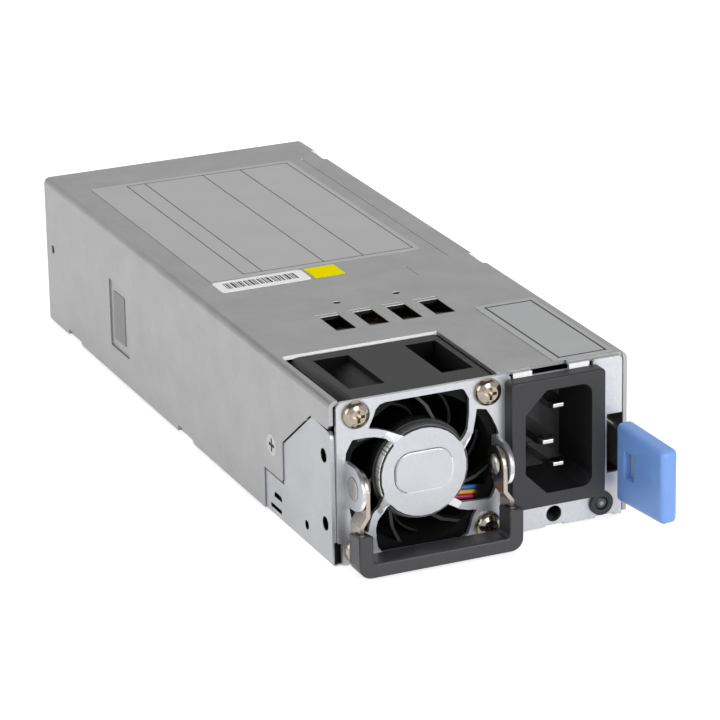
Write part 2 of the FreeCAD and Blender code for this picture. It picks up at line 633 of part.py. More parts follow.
cut(bracket, "XZ", panel_front - 1, [ring(x, z, Size(1.75, "1.75")) for x, z in corners] + [
    block(plate_left - 1, s.fan_z - 19.2, plate_left + 0.9, s.fan_z - 13.9),
], beyond)
# The disc's rim is folded back, with a groove round it behind the face.
rim_back = panel_back + s.air_gap - 0.1 - disc_front
pad(bracket, "XZ", disc_front + gauge - 0.2, [
    ring(s.fan_x, s.fan_z, s.disc_radius - 0.5), ring(s.fan_x, s.fan_z, s.disc_radius - 1.2),
], rim_back - gauge + 0.2)
pad(bracket, "XZ", disc_front + 1.3, [
    ring(s.fan_x, s.fan_z, s.disc_radius), ring(s.fan_x, s.fan_z, s.disc_radius - 0.6),
], rim_back - 1.3)
# A shallow oblong boss is pressed up in the middle of the disc.
pad(bracket, "XZ", disc_front - 0.35, [
    block(s.fan_x - 7.0, s.fan_z - 4.3, s.fan_x + 6.8, s.fan_z + 5.0, Size(3.8, "3.8")),
], Size(0.4, "0.4"))
soften(bracket, 0.3, lambda e: abs(e.BoundBox.YMax - (disc_front.value - 0.35)) < 1e-4 and e.BoundBox.YLength < 1e-4)
for sign in (-1, 1):
    level = s.fan_x + ear_outer * sign if sign < 0 else s.fan_x + ear_inner
    pad(bracket, "YZ", level, [[
        (panel_back, s.fan_z - 5.3), (panel_back, s.fan_z + 5.1), (pivot_y, s.pivot_z + s.ear_radius),
        (pivot_y - s.ear_radius, s.pivot_z + s.ear_radius, s.ear_radius - 0.1),
        (pivot_y - s.ear_radius, s.pivot_z - s.ear_radius, s.ear_radius - 0.1),
        (pivot_y, s.pivot_z - s.ear_radius),
    ]], gauge)
cut(bracket, "YZ", s.fan_x - ear_outer - 1, [ring(pivot_y, s.pivot_z, s.pin_radius)], ear_outer * 2 + 2)
piece("fan_bracket", bracket)


def cross_recess(host, plane, level, x, y, size, depth):
    """Cut a cross-shaped driver recess, deep from the given level along the positive axis."""
    arm = size / 2
    web = size / 8
    cut(host, plane, level, [[
        (x - arm, y - web), (x - web, y - web), (x - web, y - arm), (x + web, y - arm), (x + web, y - web),
        (x + arm, y - web), (x + arm, y + web), (x + web, y + web), (x + web, y + arm), (x - web, y + arm),
        (x - web, y + web), (x - arm, y + web),
    ]], depth)


# Pan-head screws hold the bracket to the fan.
pan = body("bracket_screw")
pan_rise = Size(2.0, "2")
pan_radius = Size(3.25, "3.25")
spin(pan, "XY", 0, [[
    (0, -pan_rise), (pan_radius - 1.5, -pan_rise), (pan_radius - 0.45, -pan_rise * 0.72), (pan_radius, -pan_rise * 0.3),
    (pan_radius, 0), (1.45, 0), (1.45, 4.4), (0, 4.4),
]], "V_Axis", (0, 0))
cross_recess(pan, "XZ", -pan_rise - 1, 0, 0, Size(2.9, "2.9"), Size(2.1, "2.1"))
piece("bracket_screws", *[copy(pan, x, panel_front, z) for x, z in corners])

sunk = body("cover_screw")
spin(sunk, "XZ", 0, [[
    (0, 0), (0, screw_head), (0.05, screw_head), (sink_depth, screw_shank), (3.6, screw_shank), (3.6, 0),
]], "H_Axis", (0, 0))
cross_recess(sunk, "YZ", -1, 0, 0, Size(3.2, "3.2"), Size(1.7, "1.7"))
piece("cover_screws", copy(sunk, left_face, s.cover_screw_y, s.cover_screw_z),
      copy(sunk, right_face, s.right_screw_y, right_screw_z, 180))

# ---------------------------------------------------------------------------------------------
# Fan: frame with the stator's spokes in front, motor, rotor with its blades, bearings and leads
# ---------------------------------------------------------------------------------------------
frame_front = panel_back + 0.3
frame_rear = frame_front + s.fan_length
stator_back = frame_front + s.stator_thick
frame = body("fan_frame")
duct_outer = s.fan_bore + 0.5
pad(frame, "XZ", frame_front, [[
    (s.fan_x - fan_half, s.fan_z - fan_half, 3), (s.fan_x + fan_half, s.fan_z - fan_half, 3),
    (s.fan_x + fan_half, s.fan_top, 0.8), (s.fan_x - fan_half, s.fan_top, 3),
]], s.fan_length)
cut(frame, "XZ", frame_front - 1, [ring(s.fan_x, s.fan_z, s.fan_bore)], s.fan_length + 2)


def pocket(first, last, side):
    """A recess over the duct between two angles, open to the top (side 1) or the floor (side -1)."""
    curve = bow(duct_outer, first, last, 5)
    edge = (fan_half + 1) * side
    return around([*curve, (curve[-1][0], edge), (curve[0][0], edge)], s.fan_x, s.fan_z)


cut(frame, "XZ", frame_front + s.fan_flange, [
    pocket(106.5, 139.9, 1), pocket(60.7, 23.9, 1), pocket(-106.5, -139.9, -1), pocket(-60.7, -40.1, -1),
], Size(20.0, "20"))
lead_x = s.fan_x + fan_half - 0.75
lead_z = [s.fan_z - 8.0 - 1.2 * i for i in range(4)]
lead_low = lead_z[3] - 0.9
lead_high = lead_z[0] + 0.9
cut(frame, "XZ", frame_front - 1, [ring(x, z, Size(1.6, "1.6")) for x, z in corners], Size(6.0, "6"))
# A guard over the leads, the slot they pass through and the channel they run back in.
guard = [(14.6, -6.6), (17.0, -6.6), (14.0, -12.4), (13.2, -12.4)]
pad(frame, "XZ", frame_front, [around(guard, s.fan_x, s.fan_z)], Size(0.9, "0.9"))
cut(frame, "XZ", frame_front + 1.5, [block(s.fan_x + 12.5, lead_low, s.fan_x + fan_half + 1, lead_high)], Size(1.5, "1.5"))
cut(frame, "XZ", frame_front + 1.5, [
    block(lead_x - 0.9, lead_low, s.fan_x + fan_half + 1, lead_high),
], s.fan_length + 2)
piece("fan_frame", frame)

# The stator's ring and bearing tube hang in the duct on six swept struts.
stator = body("fan_stator")
pad(stator, "XZ", frame_front, [ring(s.fan_x, s.fan_z, s.stator_radius)], s.stator_thick)
strut_reach = s.fan_bore - 0.02
strut_half = 2.6
for angle in (69.5, 125.5, 181.0, 229.5, 280.0, 329.0):
    strut = [polar(s.stator_radius - 1, angle - 4 - strut_half), polar(s.stator_radius + 3, angle + 13 - 2),
             polar(strut_reach, angle + 24 - 1.6), polar(strut_reach, angle + 24 + 1.6),
             polar(s.stator_radius + 3, angle + 13 + 2), polar(s.stator_radius - 1, angle - 4 + strut_half)]
    pad(stator, "XZ", frame_front + 0.5, [around(strut, s.fan_x, s.fan_z)], s.stator_thick - 0.9)
tube_outer = s.bearing_radius + 0.05 + s.tube_wall
tube_length = Size(17.0, "17")
pad(stator, "XZ", stator_back - 0.2, [ring(s.fan_x, s.fan_z, tube_outer)], tube_length)
cut(stator, "XZ", stator_back - 1.2, [ring(s.fan_x, s.fan_z, s.bearing_radius + 0.05)], tube_length + 2)
piece("fan_stator", stator)

motor = body("fan_motor")
motor_length = Size(12.0, "12")
pad(motor, "XZ", stator_back + 0.1, [
    ring(s.fan_x, s.fan_z, Size(9.4, "9.4")), ring(s.fan_x, s.fan_z, tube_outer + 0.1),
], motor_length)
piece("fan_motor", motor)

rotor = body("rotor_blank")
cup_front = stator_back + 0.6
cup_rear = frame_rear - 4
cup_wall = Size(1.2, "1.2")
hub = spin(rotor, "XY", s.fan_z, [[
    (s.hub_radius - cup_wall, cup_front), (s.hub_radius, cup_front), (s.hub_radius, cup_rear - 1),
    (s.hub_radius - 1, cup_rear), (s.shaft_radius + 0.02, cup_rear), (s.shaft_radius + 0.02, cup_rear - 4.5),
    (s.shaft_radius + 1.5, cup_rear - 4.5), (s.shaft_radius + 1.5, cup_rear - 2),
    (s.hub_radius - cup_wall, cup_rear - 2),
]], "V_Axis", (s.fan_x, 0))
blade_front = cup_front + 0.4
blade_rear = cup_rear - 0.6
blade = pad(rotor, "XY", s.fan_z + s.hub_radius - 0.9, [[
    (s.fan_x - 6.2, blade_front), (s.fan_x - 6.2 + s.blade_thick * 1.6, blade_front), (s.fan_x + 2.4, -79),
    (s.fan_x + 5.2, blade_rear), (s.fan_x + 5.2 - s.blade_thick, blade_rear), (s.fan_x + 1.0, -79),
]], s.blade_tip - s.hub_radius + 1.2)
repeat(rotor, [blade], hub.Profile[0], int(s.blade_count.value))
# The blades' tips follow the duct: the rotor is what lies inside this cylinder.
sweep = doc.addObject("Part::Cylinder", "blade_sweep")
sweep.Placement = Placement(Vector(), Rotation(along_x, -90))
bind(sweep, "Radius", s.blade_tip)
bind(sweep, "Height", s.fan_length + 4)
bind(sweep, "Placement.Base.x", s.fan_x)
bind(sweep, "Placement.Base.y", frame_front - 2)
bind(sweep, "Placement.Base.z", s.fan_z)
trimmed = doc.addObject("Part::Common", "trimmed_rotor")
trimmed.Base = rotor
trimmed.Tool = sweep
piece("fan_impeller", trimmed)

shaft = body("fan_shaft")
shaft_front = stator_back - 0.8
pad(shaft, "XZ", shaft_front, [ring(s.fan_x, s.fan_z, s.shaft_radius)], cup_rear - shaft_front - 0.2)
piece("fan_shaft", shaft)

bearing = body("fan_bearing")
pad(bearing, "XZ", 0, [ring(0, 0, s.bearing_radius), ring(0, 0, s.shaft_radius + s.pin_clearance)], s.bearing_width)
piece("fan_bearings", copy(bearing, s.fan_x, stator_back - 0.6, s.fan_z),
      copy(bearing, s.fan_x, stator_back + tube_length - s.bearing_width - 0.6, s.fan_z))


def tube(label, radius, spots):
    """Sweep a round section along a polyline of numbers with rounded corners."""
    section = doc.addObject("Part::Circle", f"{label}_section")
    bind(section, "Radius", radius)
    start = Vector(*spots[0])
    ahead = Vector(*spots[1]) - start
    section.Placement = Placement(start, Rotation(Vector(0, 0, 1), ahead))
    line = doc.addObject("Part::Polygon", f"{label}_line")
    line.Nodes = [Vector(*spot) for spot in spots]
    doc.recompute()
    swept = doc.addObject("Part::Sweep", label)
    swept.Sections = [section]
    swept.Spine = (line, [f"Edge{i}" for i in range(1, len(spots))])
    swept.Solid = True
    swept.Transition = "Right corner"
    return swept


# Four leads leave the stator, cross the front flange and run back along the frame's corner.
connector_y = frame_rear + 4.5
connector_z = s.board_low + s.board_thick + 3.1
plug_left = lead_x + 1.4
for i, colour in enumerate(("blue", "yellow", "red", "black")):
    height = lead_z[i].value
    leave = math.radians(-37 - 6.7 * i)
    start_x = s.fan_x.value + (s.stator_radius.value + 0.3) * math.cos(leave)
    start_z = s.fan_z.value + (s.stator_radius.value + 0.3) * math.sin(leave)
    bend_y = frame_front.value + 2.25
    turn_y = frame_rear.value + 0.8 + 0.9 * i
    column = plug_left.value + 1.25 + 1.5 * (3 - i)
    spots = [
        (start_x, bend_y, start_z), (lead_x.value, bend_y, height), (lead_x.value, turn_y, height),
        (column, turn_y, connector_z.value), (column, connector_y.value - 0.05, connector_z.value),
    ]
    piece(f"fan_lead_{colour}", tube(f"fan_lead_{colour}", s.lead_radius, spots))
plug = body("fan_connector")
pad(plug, "XZ", connector_y, [
    block(plug_left, s.board_low + s.board_thick + 0.05, plug_left + 7.0, s.board_low + s.board_thick + 6.0, 0.4),
], Size(6.0, "6"))
piece("fan_connector", plug)

# ---------------------------------------------------------------------------------------------
# Handle: two joggled steel arms on the ears' pins and a moulded grip over their lower ends
# ---------------------------------------------------------------------------------------------
arm_gauge = gauge
arm_out = ear_inner - s.air_gap
arm_in = arm_out - arm_gauge
arm_front = pivot_y - s.arm_radius - 0.1
arms = []
for side, sign in (("left", -1), ("right", 1)):
    arm = body(f"arm_{side}")
    strip = [(arm_in, s.pivot_z), (arm_in, 14.0), (arm_in + s.joggle, 11.7), (arm_in + s.joggle, 4.6),
             (arm_out + s.joggle, 4.6), (arm_out + s.joggle, 11.9), (arm_out, 14.2), (arm_out, s.pivot_z)]
    pad(arm, "XZ", arm_front, [[(s.fan_x + x * sign, z) for x, z in strip]], s.arm_width)
    start = s.fan_x - arm_out if sign < 0 else s.fan_x + arm_in
    pad(arm, "YZ", start, [ring(pivot_y, s.pivot_z, s.arm_radius)], arm_gauge)
    cut(arm, "YZ", start - 1, [ring(pivot_y, s.pivot_z, s.pin_radius + s.pin_clearance)], beyond)
    arms.append(arm)
piece("handle_arms", *arms)

grip = body("handle_grip")
grip_front = panel_front - s.grip_front
grip_rear = grip_front + s.grip_thick
grip_inner = s.grip_outer - s.leg_thick
bar_top = s.grip_low + s.grip_bar
pad(grip, "XZ", grip_front, [[
    (s.fan_x - s.grip_outer, s.grip_low, 3), (s.fan_x + s.grip_outer, s.grip_low, 3),
    (s.fan_x + s.grip_outer, s.grip_top), (s.fan_x + grip_inner, s.grip_top), (s.fan_x + grip_inner, bar_top, 0.8),
    (s.fan_x - grip_inner, bar_top, 0.8), (s.fan_x - grip_inner, s.grip_top), (s.fan_x - s.grip_outer, s.grip_top),
]], s.grip_thick)
cut(grip, "YZ", s.fan_x - s.grip_outer - 1, [[
    (grip_rear + 0.5, s.grip_top - 0.9), (grip_front + 0.8, s.grip_top - 0.1), (grip_front - 1, s.grip_top - 0.1),
    (grip_front - 1, s.grip_top + 1), (grip_rear + 0.5, s.grip_top + 1),
]], s.grip_outer * 2 + 2)
soften(grip, 0.5, lambda e: abs(e.BoundBox.YMax - grip_front.value) < 1e-3)
arm_slot = 0.05
cut(grip, "XY", 4.5, [
    block(s.fan_x + (arm_in + s.joggle - arm_slot) * sign, arm_front - arm_slot,
          s.fan_x + (arm_out + s.joggle + arm_slot) * sign, arm_front + s.arm_width + arm_slot)
    for sign in (-1, 1)
], 9)
piece("handle_grip", grip)

pins = []
for side, sign in (("left", -1), ("right", 1)):
    rivet = body(f"handle_rivet_{side}")
    dome = arm_in - s.air_gap
    flat_head = ear_outer + 0.25
    outline = [(flat_head, 0), (flat_head, 2.6), (ear_outer + 0.02, 2.8), (ear_outer + 0.02, s.pin_radius - 0.02),
               (dome, s.pin_radius - 0.02), (dome, 2.75), (dome - 0.6, 2.3), (dome - 1.0, 1.4), (dome - 1.1, 0)]
    spin(rivet, "XY", s.pivot_z, [[(s.fan_x + x * sign, radius) for x, radius in outline]], "H_Axis", (0, pivot_y))
    pins.append(rivet)
piece("handle_rivets", *pins)

# ---------------------------------------------------------------------------------------------
# Mains inlet, its pins, the filter board behind it and the status light
# ---------------------------------------------------------------------------------------------
inlet = body("inlet_housing")
flange_back = panel_front - 0.05
flange_front = flange_back - s.inlet_flange
inlet_rear = flange_front + s.cavity_depth + s.inlet_wall
pad(inlet, "XZ", flange_front, [block(s.inlet_left, s.inlet_low, s.inlet_right, s.inlet_high, gauge)], s.inlet_flange)
soften(inlet, 0.4, lambda e: abs(e.BoundBox.YMax - flange_front.value) < 1e-3)
corner = s.cavity_corner
cavity = [
    (s.cavity_left + corner, s.cavity_low), (s.cavity_right, s.cavity_low, 2.5),
    (s.cavity_right, s.cavity_high, 2.5), (s.cavity_left + corner, s.cavity_high),
    (s.cavity_left, s.cavity_high - corner), (s.cavity_left, s.cavity_low + corner),
]
pad(inlet, "XZ", flange_front + 0.5, [[
    (inlet_body_left + corner - 0.6, inlet_body_low), (inlet_body_right, inlet_body_low, 2.5),
    (inlet_body_right, inlet_body_high, 2.5), (inlet_body_left + corner - 0.6, inlet_body_high),
    (inlet_body_left, inlet_body_high - corner + 0.6), (inlet_body_left, inlet_body_low + corner - 0.6),
]], s.cavity_depth + s.inlet_wall - 0.5)
cut(inlet, "XZ", flange_front - 1, [cavity], s.cavity_depth + 1)
blade_spots = [(s.line_pin_x, s.line_pin_low), (s.line_pin_x, s.line_pin_high), (s.earth_pin_x, s.earth_pin_z)]
half_wide = s.pin_wide / 2
half_thick = s.pin_thick / 2


def blade_outline(x, z, extra=0.0):
    """A pin's section about its middle."""
    return block(x - half_wide - extra, z - half_thick - extra, x + half_wide + extra, z + half_thick + extra)


cut(inlet, "XZ", inlet_rear - s.inlet_wall - 1, [blade_outline(x, z, 0.02) for x, z in blade_spots], beyond)
piece("inlet_housing", inlet)

filter_front = inlet_rear + 1.0
blade_end = filter_front + s.board_thick + 1.4


def mains_blade(label, tip):
    """One inlet pin with a tapered tip, running back through the filter board."""
    pin = body(label)
    pad(pin, "XZ", 0, [blade_outline(0, 0)], blade_end - tip)
    nose = half_thick * 0.5
    for sign in (-1, 1):
        cut(pin, "YZ", -half_wide - 1, [[(-1, nose * sign), (-1, half_thick * sign * 2), (1.8, half_thick * sign * 2),
                                        (1.8, half_thick * sign), (0, nose * sign)]], s.pin_wide + 2)
        cut(pin, "XY", -half_thick - 1, [[((half_wide - 0.7) * sign, -1), (half_wide * sign * 2, -1),
                                         (half_wide * sign * 2, 1.2), (half_wide * sign, 1.2),
                                         ((half_wide - 0.7) * sign, 0)]], s.pin_thick + 2)
    return pin


line_tip = flange_front + s.pin_setback + 1.2
live = mains_blade("line_pin", line_tip)
piece("inlet_line_pins", copy(live, s.line_pin_x, line_tip, s.line_pin_low),
      copy(live, s.line_pin_x, line_tip, s.line_pin_high))
earth_tip = flange_front + s.pin_setback - 1.8
earth = mains_blade("earth_pin", earth_tip)
piece("inlet_earth_pin", copy(earth, s.earth_pin_x, earth_tip, s.earth_pin_z))

filter_board = body("filter_board")
pad(filter_board, "XZ", filter_front, [
    block(s.cavity_left - 1.2, s.board_low + 3, s.cavity_right + 2, s.cavity_high + 1),
], s.board_thick)
cut(filter_board, "XZ", filter_front - 1, [blade_outline(x, z, 0.1) for x, z in blade_spots], beyond)
piece("filter_board", filter_board)

shroud = body("led_holder")
led_front = panel_front - 0.9
pad(shroud, "XZ", led_front, [ring(s.led_x, s.led_z, s.led_radius)], 0.88)
pad(shroud, "XZ", panel_front - 0.1, [ring(s.led_x, s.led_z, s.led_bore + 0.45)], Size(4.0, "4"))
cut(shroud, "XZ", led_front - 1, [ring(s.led_x, s.led_z, s.led_bore)], Size(8.0, "8"))
piece("led_holder", shroud)
lens = body("led_lens")
pad(lens, "XZ", led_front + 0.2, [ring(s.led_x, s.led_z, s.led_bore - 0.05)], Size(6.5, "6.5"))
soften(lens, 0.5, lambda e: abs(e.BoundBox.YMax - (led_front.value + 0.2)) < 1e-3)
piece("led_lens", lens)

# ---------------------------------------------------------------------------------------------
# Latch: a leaf spring with a tooth through the right wall, and the coloured tab on its end
# ---------------------------------------------------------------------------------------------
leaf = body("latch_leaf")
lean_far = s.tab_rear - 16.0
lean_shift = 16.0 * s.tab_lean
foot_out = s.leaf_foot_x + s.leaf_gauge
front_out = s.leaf_front_x + s.leaf_gauge
leaf_height = s.leaf_high - s.leaf_low
pad(leaf, "XY", s.leaf_low, [[
    (s.leaf_foot_x, s.leaf_foot_rear), (s.leaf_foot_x, s.leaf_step_y + 3), (s.leaf_front_x, s.leaf_step_y - 2),
    (s.leaf_front_x, s.tab_rear), (s.leaf_front_x + lean_shift, lean_far), (front_out + lean_shift, lean_far),
    (front_out, s.tab_rear), (front_out, s.leaf_step_y - 2), (foot_out, s.leaf_step_y + 3), (foot_out, s.leaf_foot_rear),
]], leaf_height)
tooth_tip = right_face + s.tooth_proud
pad(leaf, "XY", tooth_low, [[
    (front_out - 0.3, s.tooth_front), (tooth_tip, s.tooth_front), (tooth_tip, s.tooth_front + 1.2),
    (front_out - 0.3, s.tooth_rear),
]], tooth_high - tooth_low)
cut(leaf, "YZ", s.leaf_foot_x - 1, [
    ring(s.leaf_rivet_y, z, s.latch_rivet_radius + s.air_gap) for z in latch_rivet_z
], beyond)
piece("latch_leaf", leaf)

tab = body("latch_tab")
tab_end = s.tab_rear - s.tab_length
tab_shift = s.tab_length * s.tab_lean
pad(tab, "XY", s.tab_low, [[
    (s.tab_x, s.tab_rear), (s.tab_x + tab_shift, tab_end), (s.tab_x + tab_shift + s.tab_thick, tab_end),
    (s.tab_x + s.tab_thick, s.tab_rear),
]], s.tab_high - s.tab_low)
cut(tab, "YZ", s.tab_x - 3, [
    [(tab_end - 2, s.tab_high - s.tab_drop), (s.tab_rear + 2, s.tab_high), (s.tab_rear + 2, s.tab_high + 2),
     (tab_end - 2, s.tab_high + 2)],
], Size(12.0, "12"))
soften(tab, 1.1, lambda e: True)
cut(tab, "YZ", s.tab_x - 3, [
    block(s.tab_rear - 6.4, s.window_low + 0.6, s.tab_rear - 2.5, s.window_low + 7.1, 0.4),
], s.leaf_front_x - s.tab_x + 3)
sleeve = 0.05
cut(tab, "XY", s.leaf_low - sleeve, [[
    (s.leaf_front_x - sleeve, s.tab_rear + 1), (s.leaf_front_x - sleeve, s.tab_rear),
    (s.leaf_front_x + lean_shift - sleeve, lean_far - sleeve), (front_out + lean_shift + sleeve, lean_far - sleeve),
    (front_out + sleeve, s.tab_rear), (front_out + sleeve, s.tab_rear + 1),
]], leaf_height + 0.1)
piece("latch_tab", tab)

latch_rivet = body("latch_rivet")
flange_in = base_right - gauge
grip_room = s.leaf_foot_x - s.air_gap
spin(latch_rivet, "XZ", 0, [[
    (grip_room - 0.9, 0), (grip_room - 0.9, 1.2), (grip_room - 0.4, 2.1), (grip_room, 2.1),
    (grip_room, s.latch_rivet_radius), (base_right, s.latch_rivet_radius), (base_right, 0),
]], "H_Axis", (0, 0))
piece("latch_rivets", *[copy(latch_rivet, 0, s.leaf_rivet_y, z) for z in latch_rivet_z])

# ---------------------------------------------------------------------------------------------
# Main board, its insulating liner, standoffs, screws and the card-edge contacts
# ---------------------------------------------------------------------------------------------
liner = body("insulating_sheet")
liner_front = s.board_front - 0.1
liner_edge = base_right - gauge - 0.4
pad(liner, "XY", gauge, [block(-liner_edge, liner_front, liner_edge, board_rear)], s.liner_gauge)
pad(liner, "YZ", -liner_edge, [block(step_y + 4, gauge, board_rear, s.pad_high + 2)], s.liner_gauge)
post_spots = [(x, y) for x in (board_left + 4, board_right - 4) for y in (s.board_front + 4, 20, board_rear - 5)]
cut(liner, "XY", gauge - 1, [ring(x, y, s.standoff_radius + 0.3) for x, y in post_spots], beyond)
piece("insulating_sheet", liner)

post = body("board_standoff")
pad(post, "XY", gauge, [hexagon(0, 0, s.standoff_radius)], s.board_low - gauge)
cut(post, "XY", gauge, [ring(0, 0, 1.3)], s.board_low)
piece("board_standoffs", *[copy(post, x, y, 0) for x, y in post_spots])

board = body("main_board")
tongue_end = rear_face + s.tongue_reach
pad(board, "XY", s.board_low, [[
    (board_left, s.board_front), (board_right, s.board_front), (board_right, board_rear),
    (half_tongue, board_rear), (half_tongue, tongue_end, gauge), (-half_tongue, tongue_end, gauge),
    (-half_tongue, board_rear), (board_left, board_rear),
]], s.board_thick)
cut(board, "XY", s.board_low - 1, [ring(x, y, 1.6) for x, y in post_spots], beyond)
piece("main_board", board)

board_top = s.board_low + s.board_thick
board_screw = body("board_screw")
spin(board_screw, "XZ", 0, [[
    (0, board_top + 1.8), (1.9, board_top + 1.8), (2.6, board_top + 1.0), (2.6, board_top), (1.2, board_top),
    (1.2, board_top - 3.4), (0, board_top - 3.4),
]], "V_Axis", (0, 0))
piece("board_screws", *[copy(board_screw, x, y, 0) for x, y in post_spots])

contact = body("edge_contact")
contact_front = tongue_end - s.tongue_reach + 1.2
half_contact = s.contact_width / 2
pad(contact, "XY", 0, [block(-half_contact, contact_front, half_contact, tongue_end - 0.8)], s.contact_thick)
contact_count = 24
contact_x = [s.contact_pitch * (i - (contact_count - 1) / 2) for i in range(contact_count)]
piece("edge_contacts_top", *[copy(contact, x, 0, board_top) for x in contact_x])
piece("edge_contacts_bottom", *[copy(contact, x, 0, s.board_low - s.contact_thick) for x in contact_x])


# ---------------------------------------------------------------------------------------------
# Parts on the board
# ---------------------------------------------------------------------------------------------
def box(label, x_low, y_low, z_low, x_high, y_high, z_high, round_off=None):
    """A plain block between two corners."""
    made = body(label)
    pad(made, "XY", z_low, [block(x_low, y_low, x_high, y_high, round_off)], size_of(z_high) - z_low)
    return made


seat = board_top + 0.05
bulk = body("bulk_capacitor")
bulk_z = seat + s.bulk_radius
bulk_end = s.bulk_front + s.bulk_length
spin(bulk, "XY", bulk_z, [[
    (0, s.bulk_front), (s.bulk_radius - 1.5, s.bulk_front), (s.bulk_radius, s.bulk_front + 1.2),
    (s.bulk_radius, s.bulk_front + 3), (s.bulk_radius - 1, s.bulk_front + 4), (s.bulk_radius, s.bulk_front + 5),
    (s.bulk_radius, bulk_end - 0.8), (s.bulk_radius - 0.8, bulk_end), (0, bulk_end),
]], "V_Axis", (bulk_x, 0))
for sign in (-1, 1):
    pad(bulk, "YZ", bulk_x + 5 * sign - 0.5, [[
        (s.bulk_front + 0.5, bulk_z - 0.5), (s.bulk_front + 0.5, bulk_z + 0.5), (s.bulk_front - 2.5, bulk_z + 0.5),
        (s.bulk_front - 2.5, seat), (s.bulk_front - 1.5, seat), (s.bulk_front - 1.5, bulk_z - 0.5),
    ]], Size(1.0, "1"))
piece("bulk_capacitor", bulk)


def toroid(label, x, y, z, radius, hole, width, turns, turn_axis):
    """A ring core and its turns of wire; the ring stands with its axis along Y or X."""
    core = body(f"{label}_core")
    wire = s.wire_thick
    clear = wire + 0.1
    along = "XZ" if turn_axis == "Y" else "YZ"
    centre = (x, z) if turn_axis == "Y" else (y, z)
    level = y if turn_axis == "Y" else x
    pad(core, along, level - width / 2 + clear, [
        ring(centre[0], centre[1], radius - clear), ring(centre[0], centre[1], hole + clear),
    ], width - clear * 2)
    loop = body(f"{label}_turn")
    pad(loop, "XY", -wire / 2, [
        block(hole, -width / 2, radius, width / 2),
        block(hole + wire, -width / 2 + wire, radius - wire, width / 2 - wire),
    ], wire)
    loops = []
    for i in range(turns):
        angle = 360 / turns * i
        if turn_axis == "Y":
            loops.append(copy(loop, x, y, z, angle, (0, 1, 0)))
        else:
            turned = copy(loop, x, y, z)
            turned.Placement = Placement(turned.Placement.Base, Rotation(along_x, angle) * Rotation(along_z, 90))
            loops.append(turned)
    piece(f"{label}_core", core)
    piece(f"{label}_winding", *loops)


toroid("boost_choke", choke_x, s.choke_y, seat + s.choke_radius, s.choke_radius, s.choke_hole, s.choke_width, 16, "Y")
toroid("input_choke", emi_x, s.emi_y, seat + s.emi_radius, s.emi_radius, s.emi_hole, s.emi_width, 12, "X")

# Transformer: a ferrite core with two windows and the coil former through them.
core = body("transformer_core")
core_left = core_x - s.core_width / 2
core_low = seat
core_front = s.core_y - s.core_depth / 4
window_low = core_low + 5
window_top = core_low + s.core_height - 5
pad(core, "XZ", core_front, [block(core_left, core_low, core_left + s.core_width, core_low + s.core_height)],
    s.core_depth / 2)
cut(core, "XZ", core_front - 1, [
    block(core_left + 4, window_low, core_x - 4, window_top),
    block(core_x + 4, window_low, core_left + s.core_width - 4, window_top),
], s.core_depth)
piece("transformer_core", core)
coil = body("transformer_winding")
coil_reach = s.core_width / 2 - 4.3
pad(coil, "XY", window_low + 0.3, [
    block(core_x - coil_reach, s.core_y - s.core_depth / 2, core_x + coil_reach, s.core_y + s.core_depth / 2, 3),
    block(core_x - 4.3, core_front - 0.3, core_x + 4.3, core_front + s.core_depth / 2 + 0.3),
], window_top - window_low - 0.6)
for sign in (-1, 1):
    edge = s.core_y + (s.core_depth / 2 - 3.5) * sign
    pad(coil, "XY", seat, [block(core_x - 9, edge - 1.2, core_x + 9, edge + 1.2)], window_low - seat + 0.5)
piece("transformer_winding", coil)

# Finned heat sinks stand along the board with the switching transistors against them.
sink_top = under_top - 3.0
sink_height = sink_top - seat


def heat_sink(label, x, y_front, y_rear, folded):
    """A plate along the board; the top of a folded one is bent over to the right."""
    made = body(label)
    outline = [(x, seat), (x + s.sink_thick, seat), (x + s.sink_thick, sink_top), (x, sink_top)]
    if folded:
        fold = sink_top - s.sink_thick
        outline[2:3] = [(x + s.sink_thick, fold), (x + 9, fold), (x + 9, sink_top)]
    pad(made, "XZ", y_front, [outline], size_of(y_rear) - y_front)
    piece(label, made)


heat_sink("primary_heat_sink", bulk_x + 16.5, -24, 28, False)
heat_sink("secondary_heat_sink", 4.0, 34, 76, True)
device = body("power_device")
pad(device, "XY", 0, [block(0, -5, 4.5, 5)], Size(15.0, "15"))
pad(device, "XY", -4.5, [block(1.8, -3 + 2.5 * i, 2.4, -2.2 + 2.5 * i) for i in range(3)], Size(4.7, "4.7"))
device_z = seat + 4.5
piece("power_devices", *[copy(device, bulk_x + 18.55, y, device_z) for y in (14.5, 25.5)],
      *[copy(device, 6.05, y, device_z) for y in (42, 55, 68)])

rectifier = box("bridge_rectifier", board_left + 4.6, -52.5, seat, board_left + 24.6, -48.5, seat + 15, 0.5)
piece("bridge_rectifier", rectifier)
piece("filter_capacitor", box("filter_capacitor", plug_left + 8, -58.5, seat, plug_left + 21, -50.5, seat + 14, 0.8))
piece("mains_fuse", box("mains_fuse", -5.0, -56.0, seat, 1.0, -36.0, seat + 6, 0.8))
piece("relay", box("relay", -0.5, -33, seat, 7.5, -27, seat + 12, 0.4))
piece("output_choke", box("output_choke", board_left + 7.6, 36, seat, board_left + 25.6, 54, seat + 14, 2.5))
daughter = box("control_board", board_right - 2.8, 26, seat, board_right - 1.2, 62, seat + 24)
piece("control_board", daughter)
chip = box("control_chip", 0, -3, 0, 0.9, 3, 5)
piece("control_chips", *[copy(chip, board_right - 3.75, y, seat + z) for y, z in ((33, 12), (44, 8), (55, 12))])
can = body("output_can")
can_top = seat + s.output_can_height
spin(can, "XZ", 0, [[
    (0, seat), (s.output_can_radius, seat), (s.output_can_radius, can_top - 0.5), (s.output_can_radius - 0.5, can_top),
    (0, can_top),
]], "V_Axis", (0, 0))
